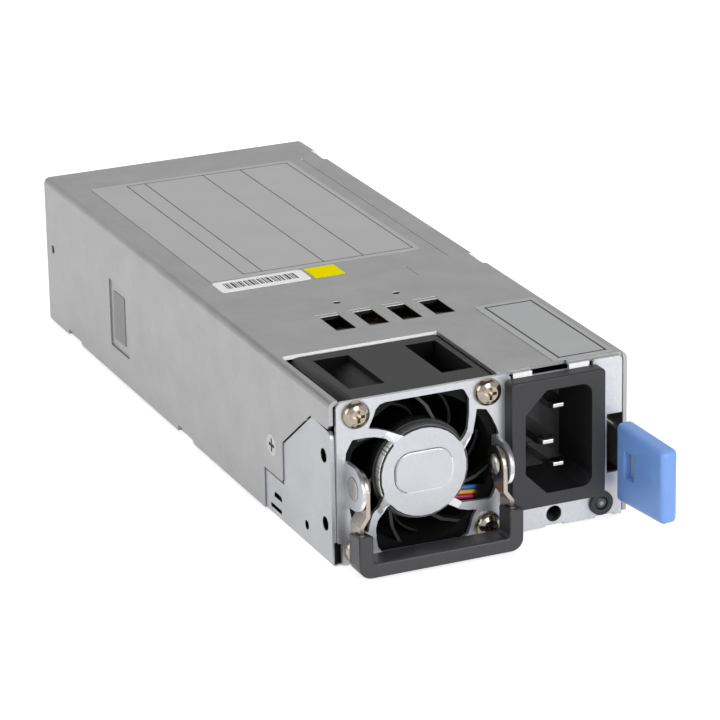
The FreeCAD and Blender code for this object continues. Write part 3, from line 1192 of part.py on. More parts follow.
can_spots = [(board_left + 5.6 + 9.2 * i, y) for y in (62.5, 72.5) for i in range(4)]
can_spots += [(board_right - 13, 66), (board_right - 13, 76)]
piece("output_capacitors", *[copy(can, x, y, 0) for x, y in can_spots])
bus = body("output_busbar")
pad(bus, "XZ", board_rear - 6.5, [block(board_left + 7.6, seat, board_right - 19, seat + 10)], Size(1.5, "1.5"))
piece("output_busbar", bus)

# ---------------------------------------------------------------------------------------------
# Labels lie flat on the cover
# ---------------------------------------------------------------------------------------------
patch = body("patch")
pad(patch, "YZ", left_face + s.pad_depth - 0.15, [
    block(s.pad_front + s.pad_rim + 0.8, s.pad_low + s.pad_rim, s.pad_rear - s.pad_rim, s.pad_high - s.pad_rim - 0.3, 0.4),
], Size(0.15, "0.15"))
piece("wall_patch", patch)
for label, x_low, y_low, x_high, y_high, corner_radius in (
    ("rating_label", -29.5, -5.5, 26.0, 77.0, 0.5), ("serial_label", -29.8, -14.4, -6.7, -6.7, 1.2),
    ("revision_label", -5.8, -14.2, 2.0, -6.8, 0.3), ("seal_label", 18.7, -91.6, 33.9, -50.3, 0.5),
):
    sticker = box(label, x_low, y_low, s.case_height, x_high, y_high, s.case_height + s.label_thick, corner_radius)
    piece(label, sticker)

# ---------------------------------------------------------------------------------------------
# Check and export
# ---------------------------------------------------------------------------------------------
doc.recompute()
os.makedirs("parts", exist_ok=True)
for thing in doc.Objects:
    if {"Invalid", "Error"} & set(thing.State):
        raise RuntimeError(f"{thing.Label} did not recompute")
for thing in pieces:
    if thing.Shape.isNull() or not thing.Shape.isValid():
        raise RuntimeError(f"{thing.Label} has no valid shape")
    thing.Shape.exportStep(f"parts/{thing.Label}.step")
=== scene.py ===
"""Dresses the frame of a hot-swap server power supply: finishes, prints and fine pieces.

Metres, in the frame's own axes: +X to the right seen from the front, the front at -Y, +Z up.
"""
import math

import bpy
from mathutils import Matrix, Vector


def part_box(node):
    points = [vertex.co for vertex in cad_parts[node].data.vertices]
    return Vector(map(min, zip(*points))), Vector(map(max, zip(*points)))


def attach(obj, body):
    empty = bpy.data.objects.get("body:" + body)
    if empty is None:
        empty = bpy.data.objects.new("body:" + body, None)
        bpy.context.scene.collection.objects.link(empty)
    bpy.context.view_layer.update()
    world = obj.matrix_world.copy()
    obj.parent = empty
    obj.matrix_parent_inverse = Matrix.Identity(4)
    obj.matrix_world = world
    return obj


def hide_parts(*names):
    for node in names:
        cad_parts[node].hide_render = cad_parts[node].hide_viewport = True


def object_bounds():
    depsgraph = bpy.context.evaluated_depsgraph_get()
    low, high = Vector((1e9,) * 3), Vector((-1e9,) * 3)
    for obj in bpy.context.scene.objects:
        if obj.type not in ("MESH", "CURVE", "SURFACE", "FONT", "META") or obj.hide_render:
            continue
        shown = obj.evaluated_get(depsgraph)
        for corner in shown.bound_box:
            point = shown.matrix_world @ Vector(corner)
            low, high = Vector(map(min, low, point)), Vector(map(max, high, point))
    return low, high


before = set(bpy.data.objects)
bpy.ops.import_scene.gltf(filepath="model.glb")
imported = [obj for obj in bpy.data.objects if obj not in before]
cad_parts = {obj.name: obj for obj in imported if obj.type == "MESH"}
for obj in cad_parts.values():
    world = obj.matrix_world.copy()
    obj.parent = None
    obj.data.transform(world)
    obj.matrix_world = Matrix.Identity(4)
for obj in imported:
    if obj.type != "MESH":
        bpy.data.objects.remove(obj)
frame_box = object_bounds()

bl_info = {
    "name": "Hot-swap power supply",
    "version": (1, 0, 0),
    "blender": (4, 2, 0),
    "location": "3D View > Sidebar > Power supply",
    "description": "Finishes and fine pieces for a hot-swap server power supply",
    "category": "Object",
}

MM = 0.001


def place(node):
    """The middle, lowest and highest corners of a CAD node."""
    low, high = (Vector(corner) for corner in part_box(node))
    return (low + high) / 2, low, high


# ---------------------------------------------------------------------------------------------
# Values a user would change
# ---------------------------------------------------------------------------------------------
def colour(name, value, description):
    """A colour property from an sRGB hex value."""
    return bpy.props.StringProperty(name=name, default=value, description=description)


class SupplyColours(bpy.types.PropertyGroup):
    """The finishes' colours, as sRGB hex values."""

    cover: colour("Cover steel", "#a2a2a3", "Zinc-plated sheet of the cover")
    chassis: colour("Chassis steel", "#b0b1b5", "Zinc-plated sheet of the chassis")
    panel: colour("Front panel sheet", "#bfc0c4", "Zinc-plated steel of the front panel")
    bracket: colour("Bracket steel", "#b9bbbf", "Bright sheet of the fan bracket")
    nickel: colour("Nickel", "#a39a8c", "Nickel plating on screws and rivets")
    # The fan is the same black polyester as the moulding; its darker colour is painted shade.
    moulding: colour("Black moulding", "#1c1c1f", "Glass-filled polyester of the inlet and grip")
    fan: colour("Fan moulding", "#161514", "Glass-filled polyester of the fan")
    tab: colour("Latch tab", "#769fe2", "Light blue polycarbonate of the latch tab")
    film: colour("Label film", "#b0b0b0", "Silver polyester label film")
    ink: colour("Label ink", "#55565a", "Printed rules on the labels")
    paper: colour("White film", "#ffffff", "White polyester label film")
    amber: colour("Yellow film", "#ffee00", "Yellow polyester label film")


class SupplySizes(bpy.types.PropertyGroup):
    """Lengths of the fine work, in metres."""

    edge: bpy.props.FloatProperty(name="Edge break", default=0.12 * MM, unit="LENGTH",
                                  description="Width of the worn edge on cut sheet and headed parts")
    print_rise: bpy.props.FloatProperty(name="Print thickness", default=0.02 * MM, unit="LENGTH",
                                        description="How far printed lines stand above their film")
    rule: bpy.props.FloatProperty(name="Rule width", default=0.28 * MM, unit="LENGTH",
                                  description="Width of the printed rules on the rating label")
    seal_rule: bpy.props.FloatProperty(name="Seal rule width", default=0.45 * MM, unit="LENGTH",
                                       description="Width of the printed border on the seal label")
    cup: bpy.props.FloatProperty(name="Impeller cup", default=11.0 * MM, unit="LENGTH",
                                 description="Radius of the impeller's cup")
    blade: bpy.props.FloatProperty(name="Blade thickness", default=0.8 * MM, unit="LENGTH",
                                   description="Thickness of the impeller's blades")
    blades: bpy.props.IntProperty(name="Blades", default=7, min=3, max=13,
                                  description="Number of blades on the impeller")
    tab: bpy.props.FloatProperty(name="Tab thickness", default=4.3 * MM, unit="LENGTH",
                                 description="Thickness of the latch tab")
    tab_round: bpy.props.FloatProperty(name="Tab rounding", default=1.3 * MM, unit="LENGTH",
                                       description="Radius of the latch tab's edges")


# The camera's place in millimetres, its pan, tilt and roll in degrees, and its lens in millimetres.
CAMERA_SPOT = (-335.938, -791.304, 326.554)
CAMERA_PAN, CAMERA_TILT, CAMERA_ROLL = -23.712, -20.076, -1.053
CAMERA_LENS = 186.587
# Each lamp's name, place in metres, width in metres and power in watts, and where all of them aim.
LAMPS = (
    ("key", (0.25, -1.3, 0.42), 0.8, 10.5),
    ("side", (-1.3, -0.3, 0.6), 1.0, 5.0),
    ("overhead", (0.3, 0.5, 1.3), 1.2, 3.2),
)
LAMP_AIM = Vector((0, -0.02, 0.02))

# Boxes in millimetres, by their low and high corners: the first two say where cut edges get a painted highlight,
# the next five where a finish gets painted shade.
COVER_EDGE_HIGHLIGHTS = ((-40, -80, 30), (40, 95, 40))
PANEL_LIP_HIGHLIGHTS = ((5, -94, 37.2), (27.7, -90, 40))
LOUVRES = ((-17, -51.2, 30), (14.5, -40.3, 38.85))
COVER_HOLES = ((-17, -40, 38.05), (14.5, -30, 38.85))
CHEEK_HOLES = ((-36.38, -91, 1.5), (-35.4, -56, 40))
# A painted shadow line on the cheek, under the cover's edge.
CHEEK_EDGE_SHADOW = ((-36.6, -65.6, 9.85), (-36.3, -54.6, 10.4))
FLANGE_NOTCH = ((-36, -94, 0.4), (-33, -91, 5.6))
DISC_MIDDLE = (-14.75 * MM, 0, 19.5 * MM)

# The printed lines, in millimetres: borders as left, right, front and rear.
RATING_BORDER = (-20.3, 24.6, -4.0, 75.2)
RATING_COLUMNS = (-15.4, 0.7, 11.2)
SEAL_BORDER = (20.6, 32.9, -90.0, -51.9)
BAR_ROW = (-27.6, -9.5, -12.4, -8.4)
BAR_WIDTHS = (0.22, 0.4, 0.22, 0.6, 0.3, 0.22, 0.45)
BAR_GAPS = (0.3, 0.22, 0.5, 0.25, 0.36)


# ---------------------------------------------------------------------------------------------
# Materials
# ---------------------------------------------------------------------------------------------
def linear(text):
    """An sRGB hex value as linear red, green, blue and alpha."""
    parts = [int(text[i:i + 2], 16) / 255 for i in (1, 3, 5)]
    return tuple(p / 12.92 if p <= 0.04045 else ((p + 0.055) / 1.055) ** 2.4 for p in parts) + (1.0,)


def add_node(tree, kind, inputs=None, **settings):
    """Add a shader node with its settings. An input is a value, an output, or a node for its first output."""
    made = tree.nodes.new(f"ShaderNode{kind}")
    for name, value in settings.items():
        setattr(made, name, value)
    for name, value in (inputs or {}).items():
        if isinstance(value, bpy.types.Node):
            value = value.outputs[0]
        if isinstance(value, bpy.types.NodeSocket):
            tree.links.new(value, made.inputs[name])
        else:
            made.inputs[name].default_value = value
    return made


def new_material(name):
    """An empty node material, its tree, and the outputs for a spot on the piece and for where it faces."""
    material = bpy.data.materials.new(name)
    material.use_nodes = True
    tree = material.node_tree
    tree.nodes.clear()
    texture_spot = add_node(tree, "TexCoord")
    return material, tree, texture_spot.outputs["Object"], texture_spot.outputs["Normal"]


def shift(hex_text, amount):
    """A colour made lighter or darker by a share."""
    return tuple(min(1.0, c * (1 + amount)) for c in linear(hex_text)[:3]) + (1.0,)


def set_ramp(ramp, first, first_colour, last, last_colour):
    """Set the two stops of a colour ramp."""
    for stop, position, tint in zip(ramp.color_ramp.elements, (first, last), (first_colour, last_colour)):
        stop.position = position
        stop.color = tint


def limits(value, low, high):
    """The inputs with which a comparison gives one between two limits, else nought."""
    return {0: value, 1: (low + high) / 2, 2: (high - low) / 2}


def inside(tree, spot, box):
    """One inside a box given in millimetres by its low and high corners, else nought."""
    share = 1.0
    for axis, low, high in zip("XYZ", *box):
        near = add_node(tree, "Math", limits(spot.outputs[axis], low * MM, high * MM), operation="COMPARE")
        share = add_node(tree, "Math", {0: share, 1: near}, operation="MULTIPLY")
    return share


def paint_highlight(tree, paint, metallic, share):
    """Where a share is one, paint a highlight: whiten a paint and take the metal out of it. Gives back both."""
    white = add_node(tree, "MixRGB", {"Fac": share, "Color1": paint, "Color2": linear("#ffffff")})
    return white, add_node(tree, "MapRange", {"Value": share, "To Min": metallic, "To Max": 0.0})


def sheet_steel(name, hex_text, metallic=0.75, roughness=0.42, spangle=1.6, grain=0.05, edge_highlight_box=None, shaded=(),
                painted_slopes=False):
    """Zinc-plated sheet: a soft grey metal, cloudy at a few millimetres with a fine satin grain.

    Inside the edge box, sheared edges that face the front get a painted highlight and those that face down
    get painted shade. Boxes in shaded get painted shade: the walls of holes and louvres, and a shadow line
    under the cover's edge. A pressing with painted slopes gets a painted highlight on the slopes that face
    right or down and painted shade on those that face left or up.
    """
    material, tree, where, normal = new_material(name)
    cloud = add_node(tree, "TexNoise", {"Vector": where, "Scale": 1 / (spangle * 6 * MM), "Detail": 4.0,
                                        "Roughness": 0.6})
    fine = add_node(tree, "TexNoise", {"Vector": where, "Scale": 1 / (spangle * 0.35 * MM), "Detail": 3.0,
                                       "Roughness": 0.65})
    both = add_node(tree, "Math", {0: cloud, 1: fine}, operation="ADD")
    even = add_node(tree, "Math", {0: both, 1: 0.5}, operation="MULTIPLY")
    paint, shine = add_node(tree, "ValToRGB", {"Fac": even}), metallic
    set_ramp(paint, 0.35, shift(hex_text, -grain * 2), 0.65, shift(hex_text, grain * 2))
    rough = add_node(tree, "MapRange", {"Value": fine, "To Min": roughness - 0.05, "To Max": roughness + 0.06})
    bump = add_node(tree, "Bump", {"Height": fine, "Strength": 0.12, "Distance": 0.02 * MM})
    spot = add_node(tree, "SeparateXYZ", {0: where})
    facing = add_node(tree, "SeparateXYZ", {0: normal})
    if edge_highlight_box:
        # Painted shade on faces that look down, and a painted highlight on cut edges that face the front inside
        # the box.
        down = add_node(tree, "Math", limits(facing.outputs["Z"], -1.1, -0.6), operation="COMPARE")
        paint = add_node(tree, "MixRGB", {"Fac": down, "Color1": paint, "Color2": linear("#4c4d50")})
        ahead = add_node(tree, "Math", limits(facing.outputs["Y"], -1.1, -0.5), operation="COMPARE")
        lit_edges = add_node(tree, "Math", {0: ahead, 1: inside(tree, spot, edge_highlight_box)}, operation="MULTIPLY")
        paint, shine = paint_highlight(tree, paint, metallic, lit_edges)
    if painted_slopes:
        # Painted highlight on slopes that face right or down, painted shade (#94969a) on those that face left or
        # up, by which way each slope faces.
        tilted = add_node(tree, "Math", limits(facing.outputs["Y"], -0.97, -0.3), operation="COMPARE")
        slope = add_node(tree, "Math", {0: facing.outputs["X"], 1: facing.outputs["Z"]}, operation="SUBTRACT")
        right = add_node(tree, "Math", limits(slope, 0.22, 2.0), operation="COMPARE")
        bright = add_node(tree, "Math", {0: tilted, 1: right}, operation="MULTIPLY")
        paint, shine = paint_highlight(tree, paint, metallic, bright)
        left = add_node(tree, "Math", limits(slope, -2.0, -0.3), operation="COMPARE")
        dull = add_node(tree, "Math", {0: tilted, 1: left}, operation="MULTIPLY")
        paint = add_node(tree, "MixRGB", {"Fac": dull, "Color1": paint, "Color2": linear("#94969a")})
    # Painted shade: near black inside each shaded box.
    for box in shaded:
        paint = add_node(tree, "MixRGB", {"Fac": inside(tree, spot, box), "Color1": paint,
                                          "Color2": linear("#141414")})
    shader = add_node(tree, "BsdfPrincipled", {"Base Color": paint, "Metallic": shine, "Roughness": rough,
                                               "Normal": bump})
    add_node(tree, "OutputMaterial", {"Surface": shader})
    return material


def plated(name, hex_text, roughness=0.28, stain=0.15):
    """Bright plating on turned or cold-headed steel: warm, glossy, with faint handling haze."""
    material, tree, where, _ = new_material(name)
    haze = add_node(tree, "TexNoise", {"Vector": where, "Scale": 1 / (0.9 * MM), "Detail": 4.0})
    rough = add_node(tree, "MapRange", {"Value": haze, "To Min": roughness - 0.08, "To Max": roughness + 0.1})
    paint = add_node(tree, "ValToRGB", {"Fac": haze})
    set_ramp(paint, 0.0, shift(hex_text, -1.2 * stain), 1.0, shift(hex_text, 0.8 * stain))
    shader = add_node(tree, "BsdfPrincipled", {"Base Color": paint, "Metallic": 1.0, "Roughness": rough})
    add_node(tree, "OutputMaterial", {"Surface": shader})
    return material


def moulded(name, hex_text, roughness=0.5, grain_mm=0.25, depth=0.25, specular=0.5, front=None):
    """Injection-moulded plastic: an even colour under a fine spark-eroded texture.

    Faces to the front, in the shade of what stands before them, may take a colour of painted shade.
    """
    material, tree, where, normal = new_material(name)
    grain = add_node(tree, "TexNoise", {"Vector": where, "Scale": 1 / (grain_mm * MM), "Detail": 2.0})
    blotch = add_node(tree, "TexNoise", {"Vector": where, "Scale": 1 / (6 * MM), "Detail": 3.0})
    paint, gloss = add_node(tree, "ValToRGB", {"Fac": blotch}), specular
    set_ramp(paint, 0.0, shift(hex_text, -0.12), 1.0, shift(hex_text, 0.12))
    rough = add_node(tree, "MapRange", {"Value": grain, "To Min": roughness - 0.06, "To Max": roughness + 0.06})
    bump = add_node(tree, "Bump", {"Height": grain, "Strength": depth, "Distance": 0.02 * MM})
    if front:
        # Painted shade: faces that look to the front take the front colour and lose their gloss.
        facing = add_node(tree, "SeparateXYZ", {0: normal})
        ahead = add_node(tree, "Math", limits(facing.outputs["Y"], -1.1, -0.7), operation="COMPARE")
        paint = add_node(tree, "MixRGB", {"Fac": ahead, "Color1": paint, "Color2": linear(front)})
        gloss = add_node(tree, "MapRange", {"Value": ahead, "To Min": specular, "To Max": 0.1})
    shader = add_node(tree, "BsdfPrincipled", {"Base Color": paint, "Roughness": rough,
                                               "Specular IOR Level": gloss, "Normal": bump})
    add_node(tree, "OutputMaterial", {"Surface": shader})
    return material


def light_guide(name, centre):
    """Smoked light guide: dark at its rim, with a painted highlight pale at the middle."""
    material, tree, where, _ = new_material(name)
    arm = add_node(tree, "Mapping", {"Vector": where, "Location": -Vector(centre)})
    far = add_node(tree, "VectorMath", {0: arm}, operation="LENGTH")
    share = add_node(tree, "Math", {0: far.outputs["Value"], 1: 1 / (2 * MM)}, operation="MULTIPLY")
    paint = add_node(tree, "ValToRGB", {"Fac": share})
    # Painted highlight: pale at the middle, dark grey towards the rim.
    set_ramp(paint, 0.16, linear("#a6aaa8"), 0.36, linear("#3c3f3e"))
    shader = add_node(tree, "BsdfPrincipled", {"Base Color": paint, "Roughness": 0.2})
    add_node(tree, "OutputMaterial", {"Surface": shader})
    return material


def rolled_rim(name, middle):
    """Rolled edge, with a painted highlight on its left and painted shade elsewhere, nicked at uneven steps where
    the press let go.
    """
    material, tree, where, _ = new_material(name)
    arm = add_node(tree, "Mapping", {"Vector": where, "Location": -Vector(middle)})
    part = add_node(tree, "SeparateXYZ", {0: arm})
    left = add_node(tree, "Math", {0: part.outputs["X"], 1: -1.0}, operation="MULTIPLY")
    turn = add_node(tree, "Math", {0: part.outputs["Z"], 1: left}, operation="ARCTAN2")
    nicks = add_node(tree, "TexNoise", {"W": turn, "Scale": 24.0, "Detail": 1.0}, noise_dimensions="1D")
    paint = add_node(tree, "ValToRGB", {"Fac": nicks})
    # Painted highlight: white between the nicks, where the rim catches the light.
    set_ramp(paint, 0.33, linear("#2e2e30"), 0.36, linear("#ffffff"))
    # Painted shade: grey on the sides away from the light.
    for start, end in ((-4.0, -0.5), (0.95, 4.0)):
        rim_shade = add_node(tree, "Math", limits(turn, start, end), operation="COMPARE")
        paint = add_node(tree, "MixRGB", {"Fac": rim_shade, "Color1": paint, "Color2": linear("#6f7073")})
    shader = add_node(tree, "BsdfPrincipled", {"Base Color": paint, "Metallic": 0.1, "Roughness": 0.4})
    add_node(tree, "OutputMaterial", {"Surface": shader})
    return material


def film(name, hex_text, metallic, roughness, specular=0.5):
    """Printed polyester film: flat and smooth, with a little unevenness from the glue under it."""
    material, tree, where, _ = new_material(name)
    ripple = add_node(tree, "TexNoise", {"Vector": where, "Scale": 1 / (9 * MM), "Detail": 2.0})
    paint = add_node(tree, "ValToRGB", {"Fac": ripple})
    set_ramp(paint, 0.0, shift(hex_text, -0.05), 1.0, shift(hex_text, 0.05))
    bump = add_node(tree, "Bump", {"Height": ripple, "Strength": 0.15, "Distance": 0.1 * MM})
    shader = add_node(tree, "BsdfPrincipled", {"Base Color": paint, "Metallic": metallic, "Roughness": roughness,
                                               "Specular IOR Level": specular, "Normal": bump})
    add_node(tree, "OutputMaterial", {"Surface": shader})
    return material


FINISHES = {}


def led_middle():
    """The middle of the light guide's front face."""
    middle, low, _ = place("led_lens")
    return (middle.x, low.y, middle.z)


def make_finishes(colours):
    """Make every finish once; each name says the material and how its surface was made."""
    FINISHES.update(
        # Cover and panel: painted highlight on cut edges that face the front, painted shade on faces that look
        # down and inside the boxes of holes and louvres.
        cover=sheet_steel("zinc_plated_cover_sheet", colours.cover, edge_highlight_box=COVER_EDGE_HIGHLIGHTS,
                          shaded=(LOUVRES, COVER_HOLES)),
        # Chassis: painted shade in the cheek's holes, the flange notch and a shadow line under the cover's edge.
        chassis=sheet_steel("zinc_plated_chassis_sheet", colours.chassis,
                            shaded=(CHEEK_HOLES, FLANGE_NOTCH, CHEEK_EDGE_SHADOW)),
        panel=sheet_steel("zinc_plated_panel_sheet", colours.panel, edge_highlight_box=PANEL_LIP_HIGHLIGHTS),
        rim=rolled_rim("rolled_steel_rim", DISC_MIDDLE),
        # The bracket and its boss carry a painted highlight and painted shade on their slopes.
        bracket=sheet_steel("bright_zinc_bracket_sheet", colours.bracket, roughness=0.36, grain=0.03, painted_slopes=True),
        boss=sheet_steel("pressed_bracket_sheet", colours.bracket, roughness=0.36, grain=0.03, painted_slopes=True),
        spring=sheet_steel("rolled_spring_steel", "#c9c9c6", roughness=0.3, grain=0.03),
        aluminium=sheet_steel("extruded_aluminium", "#c0c2c4", metallic=0.9, roughness=0.4),
        nickel=plated("nickel_plated_steel", colours.nickel, roughness=0.14, stain=0.3),
        stainless=plated("rolled_stainless_strip", "#aaa39c", roughness=0.3),
        rivet=plated("headed_steel_rivet", "#a3a09b", roughness=0.24),
        zinc=plated("zinc_plated_screw_steel", "#b4b4b6", roughness=0.35),
        pins=plated("nickel_plated_brass", "#c6c5c1", roughness=0.2),
        gold=plated("gold_flashed_copper", "#d9b25a", roughness=0.2),
        copper=plated("enamelled_copper_wire", "#a85a2c", roughness=0.3),
        tinned=plated("tinned_copper_bar", "#c8b8a4", roughness=0.35),
        moulding=moulded("black_moulded_polyester", colours.moulding),
        grip=moulded("black_moulded_grip", "#2f2f32", roughness=0.42),
        # The fan frame and its stator are one moulding: the frame's darker colour is painted shade, its front
        # faces are painted darker still, and the stator's lighter colour is painted light.
        fan=moulded("black_fan_moulding_painted_shade", colours.fan, roughness=0.5, specular=0.35, front="#060606"),
        stator=moulded("black_stator_moulding_painted_light", "#232223", roughness=0.4),
        rotor=moulded("black_rotor_moulding", "#09090a", roughness=0.45, specular=0.2),
        tab=moulded("light_blue_moulded_polycarbonate", colours.tab, roughness=0.32),
        nylon=moulded("white_moulded_nylon", "#e4e0d2"),
        film=film("silver_polyester_film", colours.film, 0.6, 0.35),
        seal=film("silver_seal_film", "#a9aaab", 0.6, 0.32),
        paper=film("white_polyester_film", colours.paper, 0.0, 0.4),
        amber=film("yellow_polyester_film", colours.amber, 0.0, 0.5, specular=0.0),
        ink=film("printed_grey_ink", colours.ink, 0.0, 0.6),
        black_ink=film("printed_black_ink", "#1f1f22", 0.0, 0.6),
        liner=moulded("grey_insulating_film", "#8c8c8c", roughness=0.5, grain_mm=0.4),
        board=moulded("green_solder_mask", "#123320", roughness=0.3, grain_mm=0.6, depth=0.1),
        sleeve=moulded("dark_shrink_sleeve", "#25252e", roughness=0.3, depth=0.1),
        yellow_core=moulded("painted_powder_core", "#6e6220", roughness=0.55, grain_mm=0.5),
        green_core=moulded("painted_ferrite_ring", "#3f7f58", roughness=0.5, grain_mm=0.5),
        ferrite=moulded("ground_ferrite", "#35353a", roughness=0.6, grain_mm=0.5),
        tape=moulded("yellow_polyester_tape", "#8a7a2c", roughness=0.35),
        package=moulded("moulded_device_package", "#1e1e20", roughness=0.55),
        ceramic=moulded("white_ceramic_tube", "#dad6cb", roughness=0.35),
        blue_wire=moulded("blue_wire_insulation", "#3a72c0", roughness=0.35),
        yellow_wire=moulded("yellow_wire_insulation", "#e6ae3c", roughness=0.35),
        red_wire=moulded("magenta_wire_insulation", "#b8306c", roughness=0.35),
        black_wire=moulded("black_wire_insulation", "#1a1a1a", roughness=0.35),
        lens=light_guide("smoked_light_guide", led_middle()),
    )


NODE_FINISH = {
    "top_cover": "cover", "lower_chassis": "chassis", "front_panel": "panel", "rear_panel": "chassis",
    "wall_patch": "liner", "fan_bracket": "bracket", "bracket_screws": "nickel",
    "cover_screws": "zinc", "handle_rivets": "rivet", "latch_rivets": "nickel", "board_screws": "nickel",
    "board_standoffs": "nickel", "fan_frame": "fan", "fan_stator": "stator", "fan_motor": "copper",
    "fan_impeller": "rotor", "fan_shaft": "nickel", "fan_bearings": "nickel", "fan_lead_blue": "blue_wire",
    "fan_lead_yellow": "yellow_wire", "fan_lead_red": "red_wire", "fan_lead_black": "black_wire",
    "fan_connector": "nylon", "handle_arms": "stainless", "handle_grip": "grip", "inlet_housing": "moulding",
    "inlet_line_pins": "pins", "inlet_earth_pin": "pins", "filter_board": "board", "led_holder": "moulding",
    "led_lens": "lens", "latch_leaf": "spring", "latch_tab": "tab", "insulating_sheet": "liner",
    "main_board": "board", "edge_contacts_top": "gold", "edge_contacts_bottom": "gold",
    "bulk_capacitor": "sleeve", "boost_choke_core": "yellow_core", "boost_choke_winding": "copper",
    "input_choke_core": "green_core", "input_choke_winding": "copper", "transformer_core": "ferrite",
    "transformer_winding": "tape", "primary_heat_sink": "aluminium", "secondary_heat_sink": "aluminium",
    "power_devices": "package", "bridge_rectifier": "package", "filter_capacitor": "tape",
    "mains_fuse": "ceramic", "relay": "package", "output_choke": "ferrite", "control_board": "board",
    "control_chips": "package", "output_capacitors": "sleeve", "output_busbar": "tinned",
    "rating_label": "film", "serial_label": "paper", "revision_label": "amber", "seal_label": "seal",
}
# Nodes of cut sheet or headed wire, whose edges are broken by the edge size.
SHEARED = ("top_cover", "lower_chassis", "front_panel", "rear_panel", "handle_arms", "bracket_screws",
           "handle_rivets")
# How far the edges of other nodes are broken, in millimetres.
EDGE_BREAK = {
    "fan_bracket": 0.14, "latch_leaf": 0.1, "handle_grip": 0.5, "inlet_housing": 0.25, "fan_frame": 0.25,
    "fan_stator": 0.15, "led_holder": 0.25, "cover_screws": 0.08, "inlet_line_pins": 0.25,
    "inlet_earth_pin": 0.25, "fan_connector": 0.2,
}


# ---------------------------------------------------------------------------------------------
# Modelling steps shared by the pieces
# ---------------------------------------------------------------------------------------------
def deselect_all():
    """Leave edit mode and select nothing."""
    if bpy.context.object and bpy.context.object.mode != "OBJECT":
        bpy.ops.object.mode_set(mode="OBJECT")
    bpy.ops.object.select_all(action="DESELECT")


def slab(name, low, high):
    """A rectangular block between two corners, with its place in its mesh."""
    deselect_all()
    low, high = Vector(low), Vector(high)
    bpy.ops.mesh.primitive_cube_add(size=1, location=(low + high) / 2, scale=high - low)
    bpy.ops.object.transform_apply(location=True, rotation=True, scale=True)
    made = bpy.context.object
    made.name = name
    return made


def pick_faces(made, wanted):
    """Go into edit mode with only the wanted faces selected."""
    deselect_all()
    made.select_set(True)
    bpy.context.view_layer.objects.active = made
    for face in made.data.polygons:
        face.select = wanted(face)
    chosen = {i for face in made.data.polygons if face.select for i in face.vertices}
    for edge in made.data.edges:
        edge.select = False
    for point in made.data.vertices:
        point.select = point.index in chosen
    bpy.context.tool_settings.mesh_select_mode = (False, False, True)
    bpy.ops.object.mode_set(mode="EDIT")


def pick_points(made, numbers):
    """Go into edit mode with only some points selected."""
    deselect_all()
    made.select_set(True)
    bpy.context.view_layer.objects.active = made
    wanted = set(numbers)
    for group in (made.data.polygons, made.data.edges):
        group.foreach_set("select", [False] * len(group))
    for point in made.data.vertices:
        point.select = point.index in wanted
    bpy.context.tool_settings.mesh_select_mode = (True, False, False)
    bpy.ops.object.mode_set(mode="EDIT")


def turn_points(made, numbers, angle, centre):
    """Turn some points of a mesh about the fan's axis."""
    pick_points(made, numbers)
    bpy.ops.transform.rotate(value=angle, orient_axis="Y", orient_type="GLOBAL", center_override=centre)
    bpy.ops.object.mode_set(mode="OBJECT")


def apply_modifier(made, kind, **settings):
    """Add a modifier with its settings and apply it."""
    deselect_all()
    made.select_set(True)
    bpy.context.view_layer.objects.active = made
    modifier = made.modifiers.new(kind.lower(), kind)
    for name, value in settings.items():
        setattr(modifier, name, value)
    bpy.ops.object.modifier_apply(modifier=modifier.name)


def join(name, parts):
    """Join objects into one piece."""
    deselect_all()
    for part in parts:
        part.select_set(True)
    bpy.context.view_layer.objects.active = parts[0]
    bpy.ops.object.join()
    made = bpy.context.object
    made.name = name
    return made


def finish_piece(made, finish, body="case"):
    """Give a piece its finish, the body that it rides on and the slot that its material fills."""
    made.data.materials.clear()
    made.data.materials.append(FINISHES[finish])
    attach(made, body)


